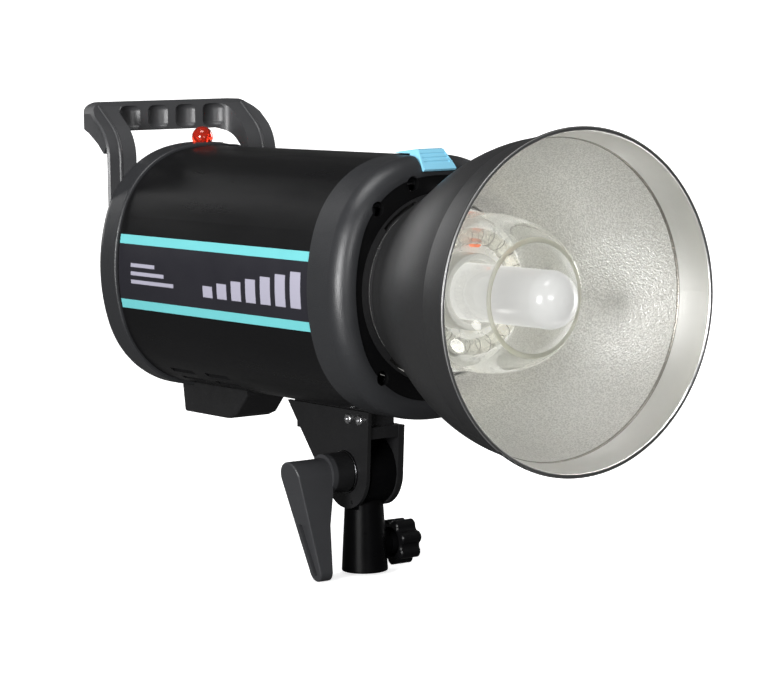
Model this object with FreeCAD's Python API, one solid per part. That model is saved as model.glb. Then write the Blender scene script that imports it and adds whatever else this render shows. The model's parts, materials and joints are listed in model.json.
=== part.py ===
import FreeCAD, Part
import math
import os

# Studio flash head (monolight) with a 7-inch reflector, on a tilting stand adapter.
# Socket frame: origin at the centre of the stand socket's mouth, +X to the reflector, +Z up.
# Everything on the head is drawn in the lamp frame, whose origin is on the lamp axis where
# the body shell meets the front hood, and is then moved into the socket frame.

V = FreeCAD.Vector

# ---- driving dimensions, millimetres -------------------------------------------------
SEAM_X = 43.5            # seam of shell and hood, in front of the stand axis
AXIS_Z = 163.6           # lamp axis above the socket mouth
LAMP_ORIGIN = V(SEAM_X, 0, AXIS_Z)

# oval body section: four corner arcs joined by flatter side and top arcs
HALF_W = 65.5
HALF_H = 70.8
CORNER_R = 55.0
CORNER_Y = 8.1
CORNER_Z = 15.0
SHELL_LEN = 196.0
SHELL_WALL = 2.2

# front hood and its face
HOOD_LEN = 29.6
HOOD_PROUD = 1.0
HOOD_ROUND = 10.5
FACE_INSET = 10.2        # edge of the black face plate, in from the body oval
FACE_T = 3.5
FACE_FRONT = HOOD_LEN - 0.5
FACE_BACK = FACE_FRONT - FACE_T
LIP_BACK = FACE_BACK - 3.0
LIP_INSET = 14.0
WELL_R = 4.0
WELL_FLOOR = 15.0
WELL_SPOTS = [(40.2, 44.3), (17.0, 56.7), (-17.0, 56.7), (-40.2, 44.3), (-38.5, -45.6), (38.5, -45.6)]

# bayonet ring and reflector
RING_BORE = 47.5
RING_R = 51.2
RING_LIP_BACK = 23.0
TAB_R = 49.3
TAB_COUNT = 3
TAB_DEG = 26.0
UNLOCK_DEG = 32.0        # turn from the locked place to the notches
COLLAR_R = 47.2
COLLAR_T = 1.1
RIM_X = 148.2
RIM_R = 89.0
BOWL_T = 1.0
BOWL_OUTLINE = [(34.0, 47.2), (37.6, 51.0), (46.0, 54.4), (58.0, 59.8), (72.0, 66.6),
                (86.0, 73.4), (100.0, 78.8), (113.0, 82.2), (126.0, 83.9)]   # x and outer radius

# light source
HOUSING_R = 43.5
HOUSING_FRONT = 46.0
PAN_R = 38.0
DOME_R = 42.3
DOME_T = 2.2
DOME_SHOULDER = 70.0     # where the straight side starts to close in
DOME_CLOSE = (42.0, 16.0, 73.0)  # length and height of the closing ellipse, and how far round it goes
TRIGGER_SPOT = (8.5, 25.0)
TUBE_RING_R = 29.5
TUBE_R = 4.2
TUBE_X = 57.5
BULB_R = 15.3
BULB_SHOULDER = 122.5
BULB_TIP = 135.5
SLEEVE_R = 20.5
SLEEVE_BORE = 17.0
SLEEVE_FRONT = 61.0
SCREW_R = 13.2           # E27 thread
SCREW_END = 45.0

# release latch on top of the hood
LATCH_HALF = 10.6
LATCH_RIDGE = (22.0, 74.6)
NOSE_Z = 62.9
CHANNEL_HALF = 11.0
CHANNEL_FLOOR = 64.0
PIN_Z = 53.6
PIN_R = 1.9

# rear bezel, handle and control panel
BEZEL_FRONT = -SHELL_LEN
BEZEL_BACK = -218.5
BEZEL_PROUD = 2.0
BEZEL_ROUND = 8.0
PANEL_INSET = 7.2
PANEL_BACK = -216.0
PANEL_FRONT = -213.0
LEDGE_FRONT = -209.0
LEDGE_INSET = 11.0
HANDLE_PIVOT = (-239.0, 64.0)    # centre that the legs' front face bends back about, in x and z
HANDLE_R = 25.0
HANDLE_LEAN = 53.0               # degrees back from upright above the bend
HANDLE_T = 8.0
HANDLE_HALF = 59.6
HANDLE_RIDGE = 50.6              # raised line between a leg's face and its outer edge
HANDLE_TOP = 97.0
HANDLE_CORNER = 13.0
HANDLE_BACK = -247.5
HANDLE_FRONT = -200.0
GRIP_FACE = -238.0
GRIP_HALF = 40.0                 # half the width of the opening for the fingers
GRIP_SPAN = 58.0                 # half the width of the bar
GRIP_BOTTOM = 79.5
FINGER_R = 8.6
FINGER_DEPTH = 3.6
FINGER_PITCH = 19.5
FINGER_COUNT = 4
HANDLE_PEG = (-217.2, 50.0)      # pegs that hold the handle in the bezel, in x and y
SLAVE_C = (-204.0, 75.6)         # clear red dome of the slave cell, in x and z
SLAVE_R = 6.3
SLAVE_SEAT_R = 6.1

# controls, as y and z on the panel
DISPLAY_C = (0.0, 32.0)
DISPLAY_SIZE = (50.0, 24.0)
BUTTON_Y = (-33.0, -11.0, 11.0, 33.0)
BUTTON_Z = 8.0
BUTTON_R = 4.6
DIAL_C = (0.0, -15.0)
DIAL_R = 12.5
ROCKER_C = (37.0, -18.0)
ROCKER_R = 8.5
INLET_C = (12.0, -42.0)
FUSE_C = (-17.0, -43.0)
JACK_C = (-37.0, -10.0)
PORT_C = (-37.0, -27.0)
BOARD_X = -202.0
PANEL_SCREWS = [(44.0, 30.0), (-44.0, 30.0), (46.0, -32.0), (-46.0, -32.0)]
SHAFT_R = 3.0
ROCKER_X = -210.5

# inside the body
DECK_Z = -34.0
CAP_CELL_R = 18.0
CELL_Y = (-38.0, 0.0, 38.0)
CELL_Z = DECK_Z + CAP_CELL_R + 0.5
FAN_C = 6.0
FAN_R = 36.0
VENT_STARTS = (-176.0, -139.0)
VENT_ROWS = (27.0, 34.5, 42.0)
VENT_LEN = 24.0

# tilt bracket and stand adapter (socket frame)
PIVOT_Z = 57.0
EAR_R = 20.6
EAR_TOP = 92.3
EAR_FRONT = 23.0
EAR_BACK = -56.0
EAR_OUT = 12.5
NEAR_EAR_IN = -10.3
FAR_EAR_IN = 8.7
BLOCK_BOTTOM = 77.1
BLOCK_TOP = 83.6
BLOCK_FRONT = 21.5
PAD_HALF = 8.0
PAD_BOLT_X = (-40.0, 9.0)
PAD_BOLT_R = 3.0
EAR_SCREWS = [(4.6, 87.4), (15.2, 87.4)]
LEVER_TIP = (7.0, 4.2)
LEVER_TIP_R = 5.4
LEVER_TOP_R = 9.2
PIVOT_R = 4.0
RUN_FIT = 0.05
GAP = 0.3
HEAD_R = 19.5
HEAD_HALF = 8.4
SOCKET_R = 8.1           # takes a 5/8 inch (15.9 mm) stand spigot
SOCKET_DEPTH = 34.0
BARREL_FOOT_R = 13.0
BARREL_NECK_R = 10.8
SHOULDER_Z = 35.8
LOCK_Z = 14.0
LOCK_R = 3.0
KNOB_LOBES = 7
KNOB_R = 13.1
HUB_R = 11.3
HUB_OUT = -27.0

# flatter arcs of the body oval, from the corner arc's place and size
SIDE_GAP = CORNER_Y - HALF_W
SIDE_R = (CORNER_R ** 2 - SIDE_GAP ** 2 - CORNER_Z ** 2) / (2 * (SIDE_GAP + CORNER_R))
TOP_GAP = CORNER_Z - HALF_H
TOP_R = (CORNER_R ** 2 - TOP_GAP ** 2 - CORNER_Y ** 2) / (2 * (TOP_GAP + CORNER_R))


# ---- helpers ---------------------------------------------------------------------------
def save(name, *solids, moved=LAMP_ORIGIN):
    """Write one sub-part, moved from the lamp frame into the socket frame."""
    shape = solids[0].copy() if len(solids) == 1 else Part.makeCompound(list(solids))
    shape.translate(moved)
    shape.exportStep("parts/%s.step" % name)


def save_stand(name, *solids):
    save(name, *solids, moved=V(0, 0, 0))


def block(x0, x1, y0, y1, z0, z1):
    return Part.makeBox(x1 - x0, y1 - y0, z1 - z0, V(x0, y0, z0))


def rod_x(x0, x1, r, y=0.0, z=0.0):
    return Part.makeCylinder(r, x1 - x0, V(x0, y, z), V(1, 0, 0))


def rod_y(y0, y1, r, x=0.0, z=0.0):
    return Part.makeCylinder(r, y1 - y0, V(x, y0, z), V(0, 1, 0))


def rod_z(z0, z1, r, x=0.0, y=0.0):
    return Part.makeCylinder(r, z1 - z0, V(x, y, z0), V(0, 0, 1))


def tube_x(x0, x1, r_out, r_in, y=0.0, z=0.0):
    return rod_x(x0, x1, r_out, y, z).cut(rod_x(x0, x1, r_in, y, z))


def polygon_y(points, y0, y1):
    """Extrude an outline given as x, z pairs from y0 to y1."""
    wire = Part.makePolygon([V(x, y0, z) for x, z in points + points[:1]])
    return Part.Face(wire).extrude(V(0, y1 - y0, 0))


def polygon_x(points, x0, x1):
    """Extrude an outline given as y, z pairs from x0 to x1."""
    wire = Part.makePolygon([V(x0, y, z) for y, z in points + points[:1]])
    return Part.Face(wire).extrude(V(x1 - x0, 0, 0))


def lathe(edges):
    """Turn a closed outline drawn in the x, y plane about the lamp axis."""
    face = Part.Face(Part.Wire(edges))
    return face.revolve(V(0, 0, 0), V(1, 0, 0), 360)


def lathe_points(points):
    """Turn a straight-sided outline of x, radius pairs about the lamp axis."""
    corners = [V(x, r, 0) for x, r in points + points[:1]]
    return lathe(Part.makePolygon(corners).Edges)


def line(a, b):
    return Part.LineSegment(a, b).toShape()


def arc(a, b, c):
    return Part.Arc(a, b, c).toShape()


def spline(points):
    curve = Part.BSplineCurve()
    curve.interpolate(points)
    return curve.toShape()


def rounded_slab_x(x0, x1, y, z, wide, high, r):
    """Plate along X with four rounded corners, centred on y, z."""
    slab = block(x0, x1, y - wide / 2, y + wide / 2, z - high / 2, z + high / 2)
    edges = [e for e in slab.Edges if abs(e.tangentAt(e.FirstParameter).x) > 0.99]
    return slab.makeFillet(r, edges)


def turned(shape, deg, axis=V(1, 0, 0), centre=V(0, 0, 0)):
    copy = shape.copy()
    copy.rotate(centre, axis, deg)
    return copy


def mirrored(shape):
    return shape.mirror(V(0, 0, 0), V(0, 1, 0))


def oval_wire(x, grow):
    """Body oval at x, grown outwards by an exact offset."""
    side = V(x, HALF_W - SIDE_R, 0)
    top = V(x, 0, HALF_H - TOP_R)
    corner = V(x, CORNER_Y, CORNER_Z)
    a = side + (corner - side).normalize() * (SIDE_R + grow)
    b = top + (corner - top).normalize() * (TOP_R + grow)
    m = corner + ((a - corner).normalize() + (b - corner).normalize()).normalize() * (CORNER_R + grow)

    def at(p, sy, sz):
        return V(x, sy * p.y, sz * p.z)

    east = V(x, HALF_W + grow, 0)
    north = V(x, 0, HALF_H + grow)
    return Part.Wire([
        arc(at(a, 1, -1), east, a),
        arc(a, m, b),
        arc(b, north, at(b, -1, 1)),
        arc(at(b, -1, 1), at(m, -1, 1), at(a, -1, 1)),
        arc(at(a, -1, 1), at(east, -1, 1), at(a, -1, -1)),
        arc(at(a, -1, -1), at(m, -1, -1), at(b, -1, -1)),
        arc(at(b, -1, -1), at(north, 1, -1), at(b, 1, -1)),
        arc(at(b, 1, -1), at(m, 1, -1), at(a, 1, -1)),
    ])


def oval(x0, x1, grow):
    return Part.Face(oval_wire(x0, grow)).extrude(V(x1 - x0, 0, 0))


def edges_at_x(shape, x):
    """Edges that lie wholly in the plane at x."""
    return [e for e in shape.Edges
            if abs(e.BoundBox.XMin - x) < 1e-4 and abs(e.BoundBox.XMax - x) < 1e-4]


def pan_screw_x(x_seat, y, z, head_r, head_t, shank_r, shank_len, towards):
    """Screw along X with a rounded head; towards is the way the shank points, +1 or -1."""
    head = rod_x(x_seat - head_t, x_seat, head_r, y, z)
    head = head.makeFillet(head_t * 0.45, edges_at_x(head, x_seat - head_t))
    slot = block(x_seat - head_t, x_seat - head_t * 0.5, y - head_r * 0.6, y + head_r * 0.6, z - 0.4, z + 0.4)
    cross = turned(slot, 90, V(1, 0, 0), V(x_seat, y, z))
    screw = head.cut(slot).cut(cross).fuse(rod_x(x_seat, x_seat + shank_len, shank_r, y, z))
    if towards < 0:
        screw = turned(screw, 180, V(0, 0, 1), V(x_seat, y, z))
    return screw


# ---- body shell and front hood ---------------------------------------------------------
def body_shell():
    shell = oval(-SHELL_LEN, 0, 0).cut(oval(-SHELL_LEN, 0, -SHELL_WALL))
    for side in (-1, 1):
        for row in VENT_ROWS:
            for start in VENT_STARTS:
                y = side * row
                slot = block(start, start + VENT_LEN, y - 1.6, y + 1.6, -HALF_H - 1, -HALF_H / 2)
                shell = shell.cut(slot)
    for x in PAD_BOLT_X:
        shell = shell.cut(rod_z(-HALF_H - 1, -HALF_H + 4, PAD_BOLT_R, x - SEAM_X))
    save("body_shell", shell)


def side_labels():
    skin = oval(-SHELL_LEN + 1.5, -0.5, 0.25).cut(oval(-SHELL_LEN, 0, 0))
    far = skin.common(block(-SHELL_LEN, 0, 0, HALF_W + 2, -21.5, 21.5))
    save("side_labels", far, mirrored(far))


def latch_channel():
    """Room that the latch slides in, cut from the hood."""
    channel = block(8.0, HOOD_LEN + 1, -CHANNEL_HALF, CHANNEL_HALF, CHANNEL_FLOOR, HALF_H + 5)
    strap_slot = block(11.0, 22.0, -3.4, 3.4, PIN_Z - 5, CHANNEL_FLOOR + 1)
    nose_room = block(17.0, HOOD_LEN + 1, -CHANNEL_HALF, CHANNEL_HALF, NOSE_Z - 0.5, CHANNEL_FLOOR + 1)
    return channel.fuse(strap_slot).fuse(nose_room)


def front_hood():
    outer = oval(0, HOOD_LEN, HOOD_PROUD)
    outer = outer.makeFillet(HOOD_ROUND, edges_at_x(outer, HOOD_LEN))
    hood = outer.cut(oval(-1, 17.0, -2.0))
    hood = hood.cut(oval(16.0, HOOD_LEN + 1, -LIP_INSET))
    hood = hood.cut(oval(FACE_BACK, HOOD_LEN + 1, -FACE_INSET + 0.1))
    spigot = oval(-6.0, 0, -SHELL_WALL - 0.1).cut(oval(-6.0, 0, -SHELL_WALL - 1.8))
    joint = oval(0, 3.0, -1.9).cut(oval(0, 3.0, -SHELL_WALL - 1.8))
    hood = hood.fuse(spigot).fuse(joint)
    channel_walls = block(3.0, 17.5, -CHANNEL_HALF - 2.5, CHANNEL_HALF + 2.5, CHANNEL_FLOOR - 3, HALF_H - 1.5)
    hood = hood.fuse(channel_walls)
    for y, z in WELL_SPOTS:
        hood = hood.fuse(rod_x(8.0, 18.0, WELL_R + 1.8, y * 0.98, z * 0.98).common(oval(0, 20, -1.9)))
    for y, z in WELL_SPOTS:
        hood = hood.cut(rod_x(WELL_FLOOR, HOOD_LEN + 1, WELL_R, y, z))
        hood = hood.cut(rod_x(7.0, WELL_FLOOR + 1, 1.5, y, z))
    hood = hood.cut(latch_channel())
    save("front_hood", hood.removeSplitter())


def hood_screws():
    screws = [pan_screw_x(WELL_FLOOR, y, z, 3.3, 2.2, 1.5, 10.0, -1) for y, z in WELL_SPOTS]
    save("hood_screws", *screws)


def front_plate():
    plate = oval(FACE_BACK, FACE_FRONT, -FACE_INSET)
    plate = plate.cut(rod_x(FACE_BACK - 1, FACE_FRONT + 1, RING_R + 0.1))
    for y, z in WELL_SPOTS:
        plate = plate.cut(rod_x(FACE_BACK - 1, FACE_FRONT + 1, WELL_R, y, z))
    plate = plate.cut(rod_x(FACE_BACK - 1, FACE_FRONT + 1, PIN_R + 0.3, 0, PIN_Z))
    for y, z in ring_screw_spots():
        plate = plate.cut(rod_x(FACE_BACK - 1, FACE_BACK + 2.2, 1.3, y, z))
    save("front_plate", plate)


# ---- bayonet ring ------------------------------------------------------------------------
def ring_screw_spots():
    radius = 53.9
    return [(radius * math.cos(math.radians(a)), radius * math.sin(math.radians(a)))
            for a in (62, 118, 242, 298)]


def tab_sector(x0, x1, r_in, r_out, middle_deg, width_deg):
    """Piece of a flat ring about the lamp axis."""
    ring = tube_x(x0, x1, r_out, r_in)
    far = 2 * r_out
    half = math.radians(width_deg / 2)
    wedge = polygon_x([(0, 0), (far * math.cos(half), -far * math.sin(half)),
                       (far * math.cos(half), far * math.sin(half))], x0 - 1, x1 + 1)
    return turned(ring.common(wedge), middle_deg)


def accessory_ring():
    ring = tube_x(2.0, FACE_FRONT, RING_R, TAB_R + GAP)
    ring = ring.fuse(tube_x(RING_LIP_BACK, FACE_FRONT, RING_R, RING_BORE))
    for k in range(TAB_COUNT):
        notch = tab_sector(RING_LIP_BACK - 1, FACE_FRONT + 1, RING_BORE - 1, TAB_R + GAP,
                           90 + UNLOCK_DEG + 360 / TAB_COUNT * k, TAB_DEG + 4)
        ring = ring.cut(notch)
    for y, z in ring_screw_spots():
        lug = rod_x(LIP_BACK - 2, FACE_BACK, 3.4, y, z).cut(rod_x(LIP_BACK - 3, FACE_BACK, RING_R - 0.5))
        ring = ring.fuse(lug).cut(rod_x(LIP_BACK - 3, FACE_BACK + 1, 1.3, y, z))
    save("accessory_ring", ring.removeSplitter())
    screws = [pan_screw_x(LIP_BACK - 2, y, z, 2.3, 1.6, 1.3, FACE_BACK - LIP_BACK + 4, 1)
              for y, z in ring_screw_spots()]
    save("ring_screws", *screws)


# ---- release latch -------------------------------------------------------------------------
def release_latch():
    """Ribbed slider: a foot in the hood's channel under a wedge that a finger pulls back."""
    ridge_x, ridge_z = LATCH_RIDGE
    hood_top = HALF_H + HOOD_PROUD
    wedge = polygon_y([(2.0, hood_top + 0.3), (4.0, hood_top + 0.9), (ridge_x - 1, ridge_z),
                       (ridge_x + 0.8, ridge_z - 0.4), (HOOD_LEN + 1.6, NOSE_Z + 1.0), (HOOD_LEN + 0.6, NOSE_Z),
                       (16.0, 66.0), (16.0, hood_top + 0.3)], -LATCH_HALF, LATCH_HALF)
    lean = 2.6
    trims = []
    for side in (-1, 1):
        trims.append(polygon_x([(side * (LATCH_HALF - lean), ridge_z + 1), (side * LATCH_HALF, 66.0),
                                (side * (LATCH_HALF + 5), 66.0), (side * (LATCH_HALF + 5), ridge_z + 1)],
                               0, HOOD_LEN + 5))
    for trim in trims:
        wedge = wedge.cut(trim)
    foot = block(15.0, FACE_FRONT - 1.0, -LATCH_HALF + 0.3, LATCH_HALF - 0.3, CHANNEL_FLOOR + GAP, 68.0)
    latch = wedge.fuse(foot)
    face = V(HOOD_LEN + 1.6 - ridge_x - 0.8, 0, NOSE_Z + 1.0 - ridge_z + 0.4)
    run = V(face).normalize()
    for step in (0.22, 0.42, 0.62):
        spot = V(ridge_x + 0.8, 0, ridge_z - 0.4) + face * step
        groove = Part.makeCylinder(0.8, 2 * LATCH_HALF - 4.4, spot + V(run.z, 0, -run.x) * -0.35
                                   + V(0, -LATCH_HALF + 2.2, 0), V(0, 1, 0))
        latch = latch.cut(groove)
    latch = latch.cut(block(14.0, 21.0, -3.05, 3.05, CHANNEL_FLOOR, CHANNEL_FLOOR + 3.3))
    save("release_latch", latch.removeSplitter())


def latch_pin():
    strap = block(17.0, 20.0, -3.0, 3.0, PIN_Z - PIN_R, CHANNEL_FLOOR + 3.3)
    pin = rod_x(20.0, 34.0, PIN_R, 0, PIN_Z)
    pin = pin.makeChamfer(0.5, edges_at_x(pin, 34.0))
    save("latch_pin", strap.fuse(pin))


# ---- reflector -------------------------------------------------------------------------------
def collar_rivets():
    """Three rivets that hold the bowl on its collar."""
    inside = BOWL_OUTLINE[0][1] - BOWL_T - 1.4
    rivet = rod_y(inside, COLLAR_R + 0.6, 1.1, 32.6, 0)
    return [turned(rivet, 30 + 120 * k) for k in range(3)]


def reflector_shell():
    """Spun bowl: deep hammered part, then a plain flared band and a rolled rim."""
    outer = [V(x, r, 0) for x, r in BOWL_OUTLINE]
    inner = [V(x + 0.2, r - BOWL_T - 0.15, 0) for x, r in BOWL_OUTLINE]
    band_out = V(RIM_X - 1.6, RIM_R - 1.2, 0)
    band_in = band_out + V(0.2, -BOWL_T, 0)
    mid_out = V(138.0, 86.6, 0)
    mid_in = mid_out + V(0.2, -BOWL_T, 0)
    neck_out = V(30.2, outer[0].y, 0)
    neck_in = V(30.2, inner[0].y, 0)
    bowl = lathe([
        line(neck_in, neck_out), line(neck_out, outer[0]), spline(outer),
        arc(outer[-1], mid_out, band_out), line(band_out, band_in),
        arc(band_in, mid_in, inner[-1]), spline(list(reversed(inner))), line(inner[0], neck_in),
    ])
    bead = Part.makeTorus(RIM_R - 1.2, 1.2, V(RIM_X - 1.2, 0, 0), V(1, 0, 0))
    bowl = bowl.fuse(bead).removeSplitter()
    for rivet in collar_rivets():
        bowl = bowl.cut(rivet)
    save("reflector_shell", bowl)


def reflector_collar():
    collar = tube_x(20.0, 30.0, COLLAR_R, COLLAR_R - COLLAR_T)
    inner = BOWL_OUTLINE[0][1] - BOWL_T - 0.15
    sleeve = tube_x(30.0, 36.0, inner - 0.05, inner - 1.0)
    step = tube_x(29.0, 30.0, COLLAR_R, inner - 1.0)
    collar = collar.fuse(step).fuse(sleeve)
    for k in range(TAB_COUNT):
        tab = tab_sector(20.0, RING_LIP_BACK - 0.4, COLLAR_R - 0.5, TAB_R, 90 + 360 / TAB_COUNT * k, TAB_DEG)
        collar = collar.fuse(tab)
    collar = collar.removeSplitter()
    rivets = collar_rivets()
    for rivet in rivets:
        collar = collar.cut(rivet)
    save("reflector_collar", collar)
    save("collar_rivets", *rivets)


# ---- lamp housing, flash tube, dome and modelling lamp -----------------------------------------
def tube_leg_spots():
    """Where the two ends of the ring flash tube go down through the pan."""
    return [(TUBE_RING_R * math.cos(math.radians(a)), TUBE_RING_R * math.sin(math.radians(a)))
            for a in (112, 152)]


def lamp_housing():
    drum = tube_x(2.0, HOUSING_FRONT, HOUSING_R, HOUSING_R - 2.5)
    front = tube_x(HOUSING_FRONT - 2.5, HOUSING_FRONT, HOUSING_R, SLEEVE_R + 0.3)
    floor = tube_x(-1.0, 2.0, RING_R, SLEEVE_R + 0.3)
    drum = drum.fuse(front).fuse(floor)
    for y, z in tube_leg_spots():
        drum = drum.cut(rod_x(HOUSING_FRONT - 4, HOUSING_FRONT + 1, TUBE_R + 0.4, y, z))
    save("lamp_housing", drum.removeSplitter())


def lamp_pan():
    floor_t = 1.2
    pan = tube_x(HOUSING_FRONT, HOUSING_FRONT + floor_t, PAN_R, SLEEVE_R + 0.3)
    pan = pan.fuse(tube_x(HOUSING_FRONT, HOUSING_FRONT + 4.2, PAN_R, PAN_R - 1.2))
    for y, z in tube_leg_spots():
        pan = pan.cut(rod_x(HOUSING_FRONT - 1, HOUSING_FRONT + 6, TUBE_R + 0.4, y, z))
    for deg, radius, hole in ((100, 34.0, 1.6), (228, 30.5, 3.2), (262, 31.0, 3.2), (318, 30.0, 1.6), (40, 30.0, 2.2)):
        a = math.radians(deg)
        spot = (radius * math.cos(a), radius * math.sin(a))
        pan = pan.cut(rod_x(HOUSING_FRONT - 1, HOUSING_FRONT + 3, hole, *spot))
    pan = pan.cut(rod_x(HOUSING_FRONT - 1, HOUSING_FRONT + 3, 2.6, *TRIGGER_SPOT))
    save("lamp_pan", pan.removeSplitter())


def trigger_lamp():
    body = rod_x(HOUSING_FRONT + 0.1, HOUSING_FRONT + 7.5, 2.4, *TRIGGER_SPOT)
    body = body.makeFillet(2.0, edges_at_x(body, HOUSING_FRONT + 7.5))
    save("trigger_lamp", body)


def flash_tube():
    """Open glass ring whose two ends turn back through the pan."""
    ring = Part.makeTorus(TUBE_RING_R, TUBE_R, V(TUBE_X, 0, 0), V(1, 0, 0))
    gap = tab_sector(TUBE_X - TUBE_R - 1, TUBE_X + TUBE_R + 1, 1.0, TUBE_RING_R + TUBE_R + 2, 132, 40)
    ring = ring.cut(gap)
    for y, z in tube_leg_spots():
        ring = ring.fuse(Part.makeSphere(TUBE_R, V(TUBE_X, y, z)))
        ring = ring.fuse(rod_x(30.0, TUBE_X, TUBE_R, y, z))
    save("flash_tube", ring.removeSplitter())


def lamp_socket():
    sleeve = tube_x(20.0, SLEEVE_FRONT, SLEEVE_R, SLEEVE_BORE)
    sleeve = sleeve.fuse(tube_x(20.0, SCREW_END, SLEEVE_R, SCREW_R + RUN_FIT))
    floor = rod_x(14.0, 20.0, SLEEVE_R)
    sleeve = sleeve.fuse(floor).removeSplitter()
    save("lamp_socket", sleeve.makeFillet(0.8, edges_at_x(sleeve, SLEEVE_FRONT)))


def bulb_glass():
    """Frosted envelope, open at the back where the base closes it."""
    wall = 1.3
    cap = BULB_TIP - BULB_SHOULDER
    outer = ellipse_quarter(BULB_SHOULDER, BULB_R, cap)
    inner = ellipse_quarter(BULB_SHOULDER, BULB_R - wall, cap - wall)
    glass = lathe([
        line(V(47.0, 12.6 - wall, 0), V(47.0, 12.6, 0)),
        arc(V(47.0, 12.6, 0), V(49.0, 14.6, 0), V(52.0, BULB_R, 0)),
        line(V(52.0, BULB_R, 0), V(BULB_SHOULDER, BULB_R, 0)),
        outer,
        line(V(BULB_TIP, 0, 0), V(BULB_TIP - wall, 0, 0)),
        inner,
        line(V(BULB_SHOULDER, BULB_R - wall, 0), V(52.0, BULB_R - wall, 0)),
        arc(V(52.0, BULB_R - wall, 0), V(49.6, 14.6 - wall, 0), V(47.0, 12.6 - wall, 0)),
    ])
    save("bulb_glass", glass)


def ellipse_quarter(x, r, depth):
    """Quarter ellipse from x, r on the side to x + depth on the axis."""
    points = []
    steps = 8
    for k in range(steps + 1):
        t = math.pi / 2 * k / steps
        points.append(V(x + depth * math.sin(t), r * math.cos(t), 0))
    points[-1] = V(x + depth, 0, 0)
    curve = Part.BSplineCurve()
    curve.interpolate(Points=points, InitialTangent=V(1, 0, 0), FinalTangent=V(0, -1, 0))
    return curve.toShape()


def bulb_base():
    """Screw base: a plug with a rolled thread drawn as rings, and a centre contact."""
    points = [(20.1, 0.0), (20.1, 4.0), (24.0, 6.0), (26.0, 12.0)]
    x = 27.0
    while x < 43.0:
        points += [(x, 12.3), (x + 1.2, SCREW_R), (x + 2.4, 12.3)]
        x += 3.0
    points += [(46.9, 12.6), (46.9, 0.0)]
    save("bulb_base", lathe_points(points))


def glass_dome():
    """Clear bell with an open front, on a thick base bead."""
    base = HOUSING_FRONT
    length, height, sweep = DOME_CLOSE

    def skin(grow):
        quarter = []
        for k in range(6):
            t = math.radians(sweep) * k / 5
            r = DOME_R - height + grow + height * math.cos(t)
            quarter.append(V(DOME_SHOULDER + length * math.sin(t), r, 0))
        return quarter

    outer = skin(0.0)
    inner = skin(-DOME_T)
    dome = lathe([
        line(V(base, DOME_R - DOME_T - 0.7, 0), V(base, DOME_R + 0.7, 0)),
        line(V(base, DOME_R + 0.7, 0), V(base + 4, DOME_R + 0.7, 0)),
        line(V(base + 4, DOME_R + 0.7, 0), V(base + 5, DOME_R, 0)),
        line(V(base + 5, DOME_R, 0), outer[0]),
        spline(outer),
        line(outer[-1], inner[-1]),
        spline(list(reversed(inner))),
        line(inner[0], V(base + 5, DOME_R - DOME_T, 0)),
        line(V(base + 5, DOME_R - DOME_T, 0), V(base, DOME_R - DOME_T - 0.7, 0)),
    ])
    save("glass_dome", dome)


def dome_clips():
    clips = []
    for k in range(3):
        arm = block(38.0, 52.1, -3.0, 3.0, DOME_R - 2, HOUSING_R + 0.85)
        arm = arm.cut(rod_x(30.0, 51.1, HOUSING_R)).cut(rod_x(50.0, 53.0, DOME_R + 0.05))
        clips.append(turned(arm.removeSplitter(), 30 + 120 * k))
    save("dome_clips", *clips)


# ---- rear bezel, handle -----------------------------------------------------------------------
def bezel_outer():
    outer = oval(BEZEL_BACK, BEZEL_FRONT, BEZEL_PROUD)
    outer = outer.makeFillet(BEZEL_ROUND, edges_at_x(outer, BEZEL_BACK))
    return outer.makeFillet(1.2, edges_at_x(outer, BEZEL_FRONT))


def rear_bezel():
    bezel = bezel_outer().cut(oval(BEZEL_BACK - 1, PANEL_FRONT, -PANEL_INSET + 0.2))
    bezel = bezel.cut(oval(PANEL_FRONT - 1, LEDGE_FRONT + 1, -LEDGE_INSET))
    bezel = bezel.cut(oval(LEDGE_FRONT, BEZEL_FRONT + 1, -2.5))
    spigot = oval(BEZEL_FRONT, BEZEL_FRONT + 6, -SHELL_WALL - 0.1).cut(
        oval(BEZEL_FRONT, BEZEL_FRONT + 6, -SHELL_WALL - 1.8))
    joint = oval(BEZEL_FRONT - 3, BEZEL_FRONT, -2.4).cut(oval(BEZEL_FRONT - 3, BEZEL_FRONT, -SHELL_WALL - 1.8))
    bezel = bezel.fuse(spigot).fuse(joint)
    x, z = SLAVE_C
    bezel = bezel.cut(rod_z(z - 12, z + 3, SLAVE_SEAT_R, x, 0))
    pocket = block(-206.0, BEZEL_FRONT + 1, 10.0, 20.0, 69.5, 76.0)
    bezel = bezel.cut(pocket)
    for y in (-HANDLE_PEG[1], HANDLE_PEG[1]):
        bezel = bezel.cut(rod_z(43.0, 70.0, 2.0, HANDLE_PEG[0], y))
    for y, z in PANEL_SCREWS:
        bezel = bezel.cut(rod_x(PANEL_FRONT - 1, PANEL_FRONT + 3.4, 1.2, y, z))
    save("rear_bezel", bezel.removeSplitter())


def handle_section(z):
    """Flat section of the handle at a height on its upright part."""
    front = HANDLE_PIVOT[0] + HANDLE_R
    ridge = HANDLE_RIDGE
    half = [(0.0, ridge - 1.1), (0.5, ridge - 0.5), (0.5, ridge + 0.5), (0.0, ridge + 1.1),
            (0.6, HANDLE_HALF - 1.0), (-0.4, HANDLE_HALF), (-1.4, HANDLE_HALF - 0.3),
            (1.0 - HANDLE_T, ridge - 0.2), (-HANDLE_T, ridge - 4.0)]
    outline = half + [(d, -y) for d, y in reversed(half)]
    return Part.Face(Part.makePolygon([V(front + d, y, z) for d, y in outline + outline[:1]]))


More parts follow.
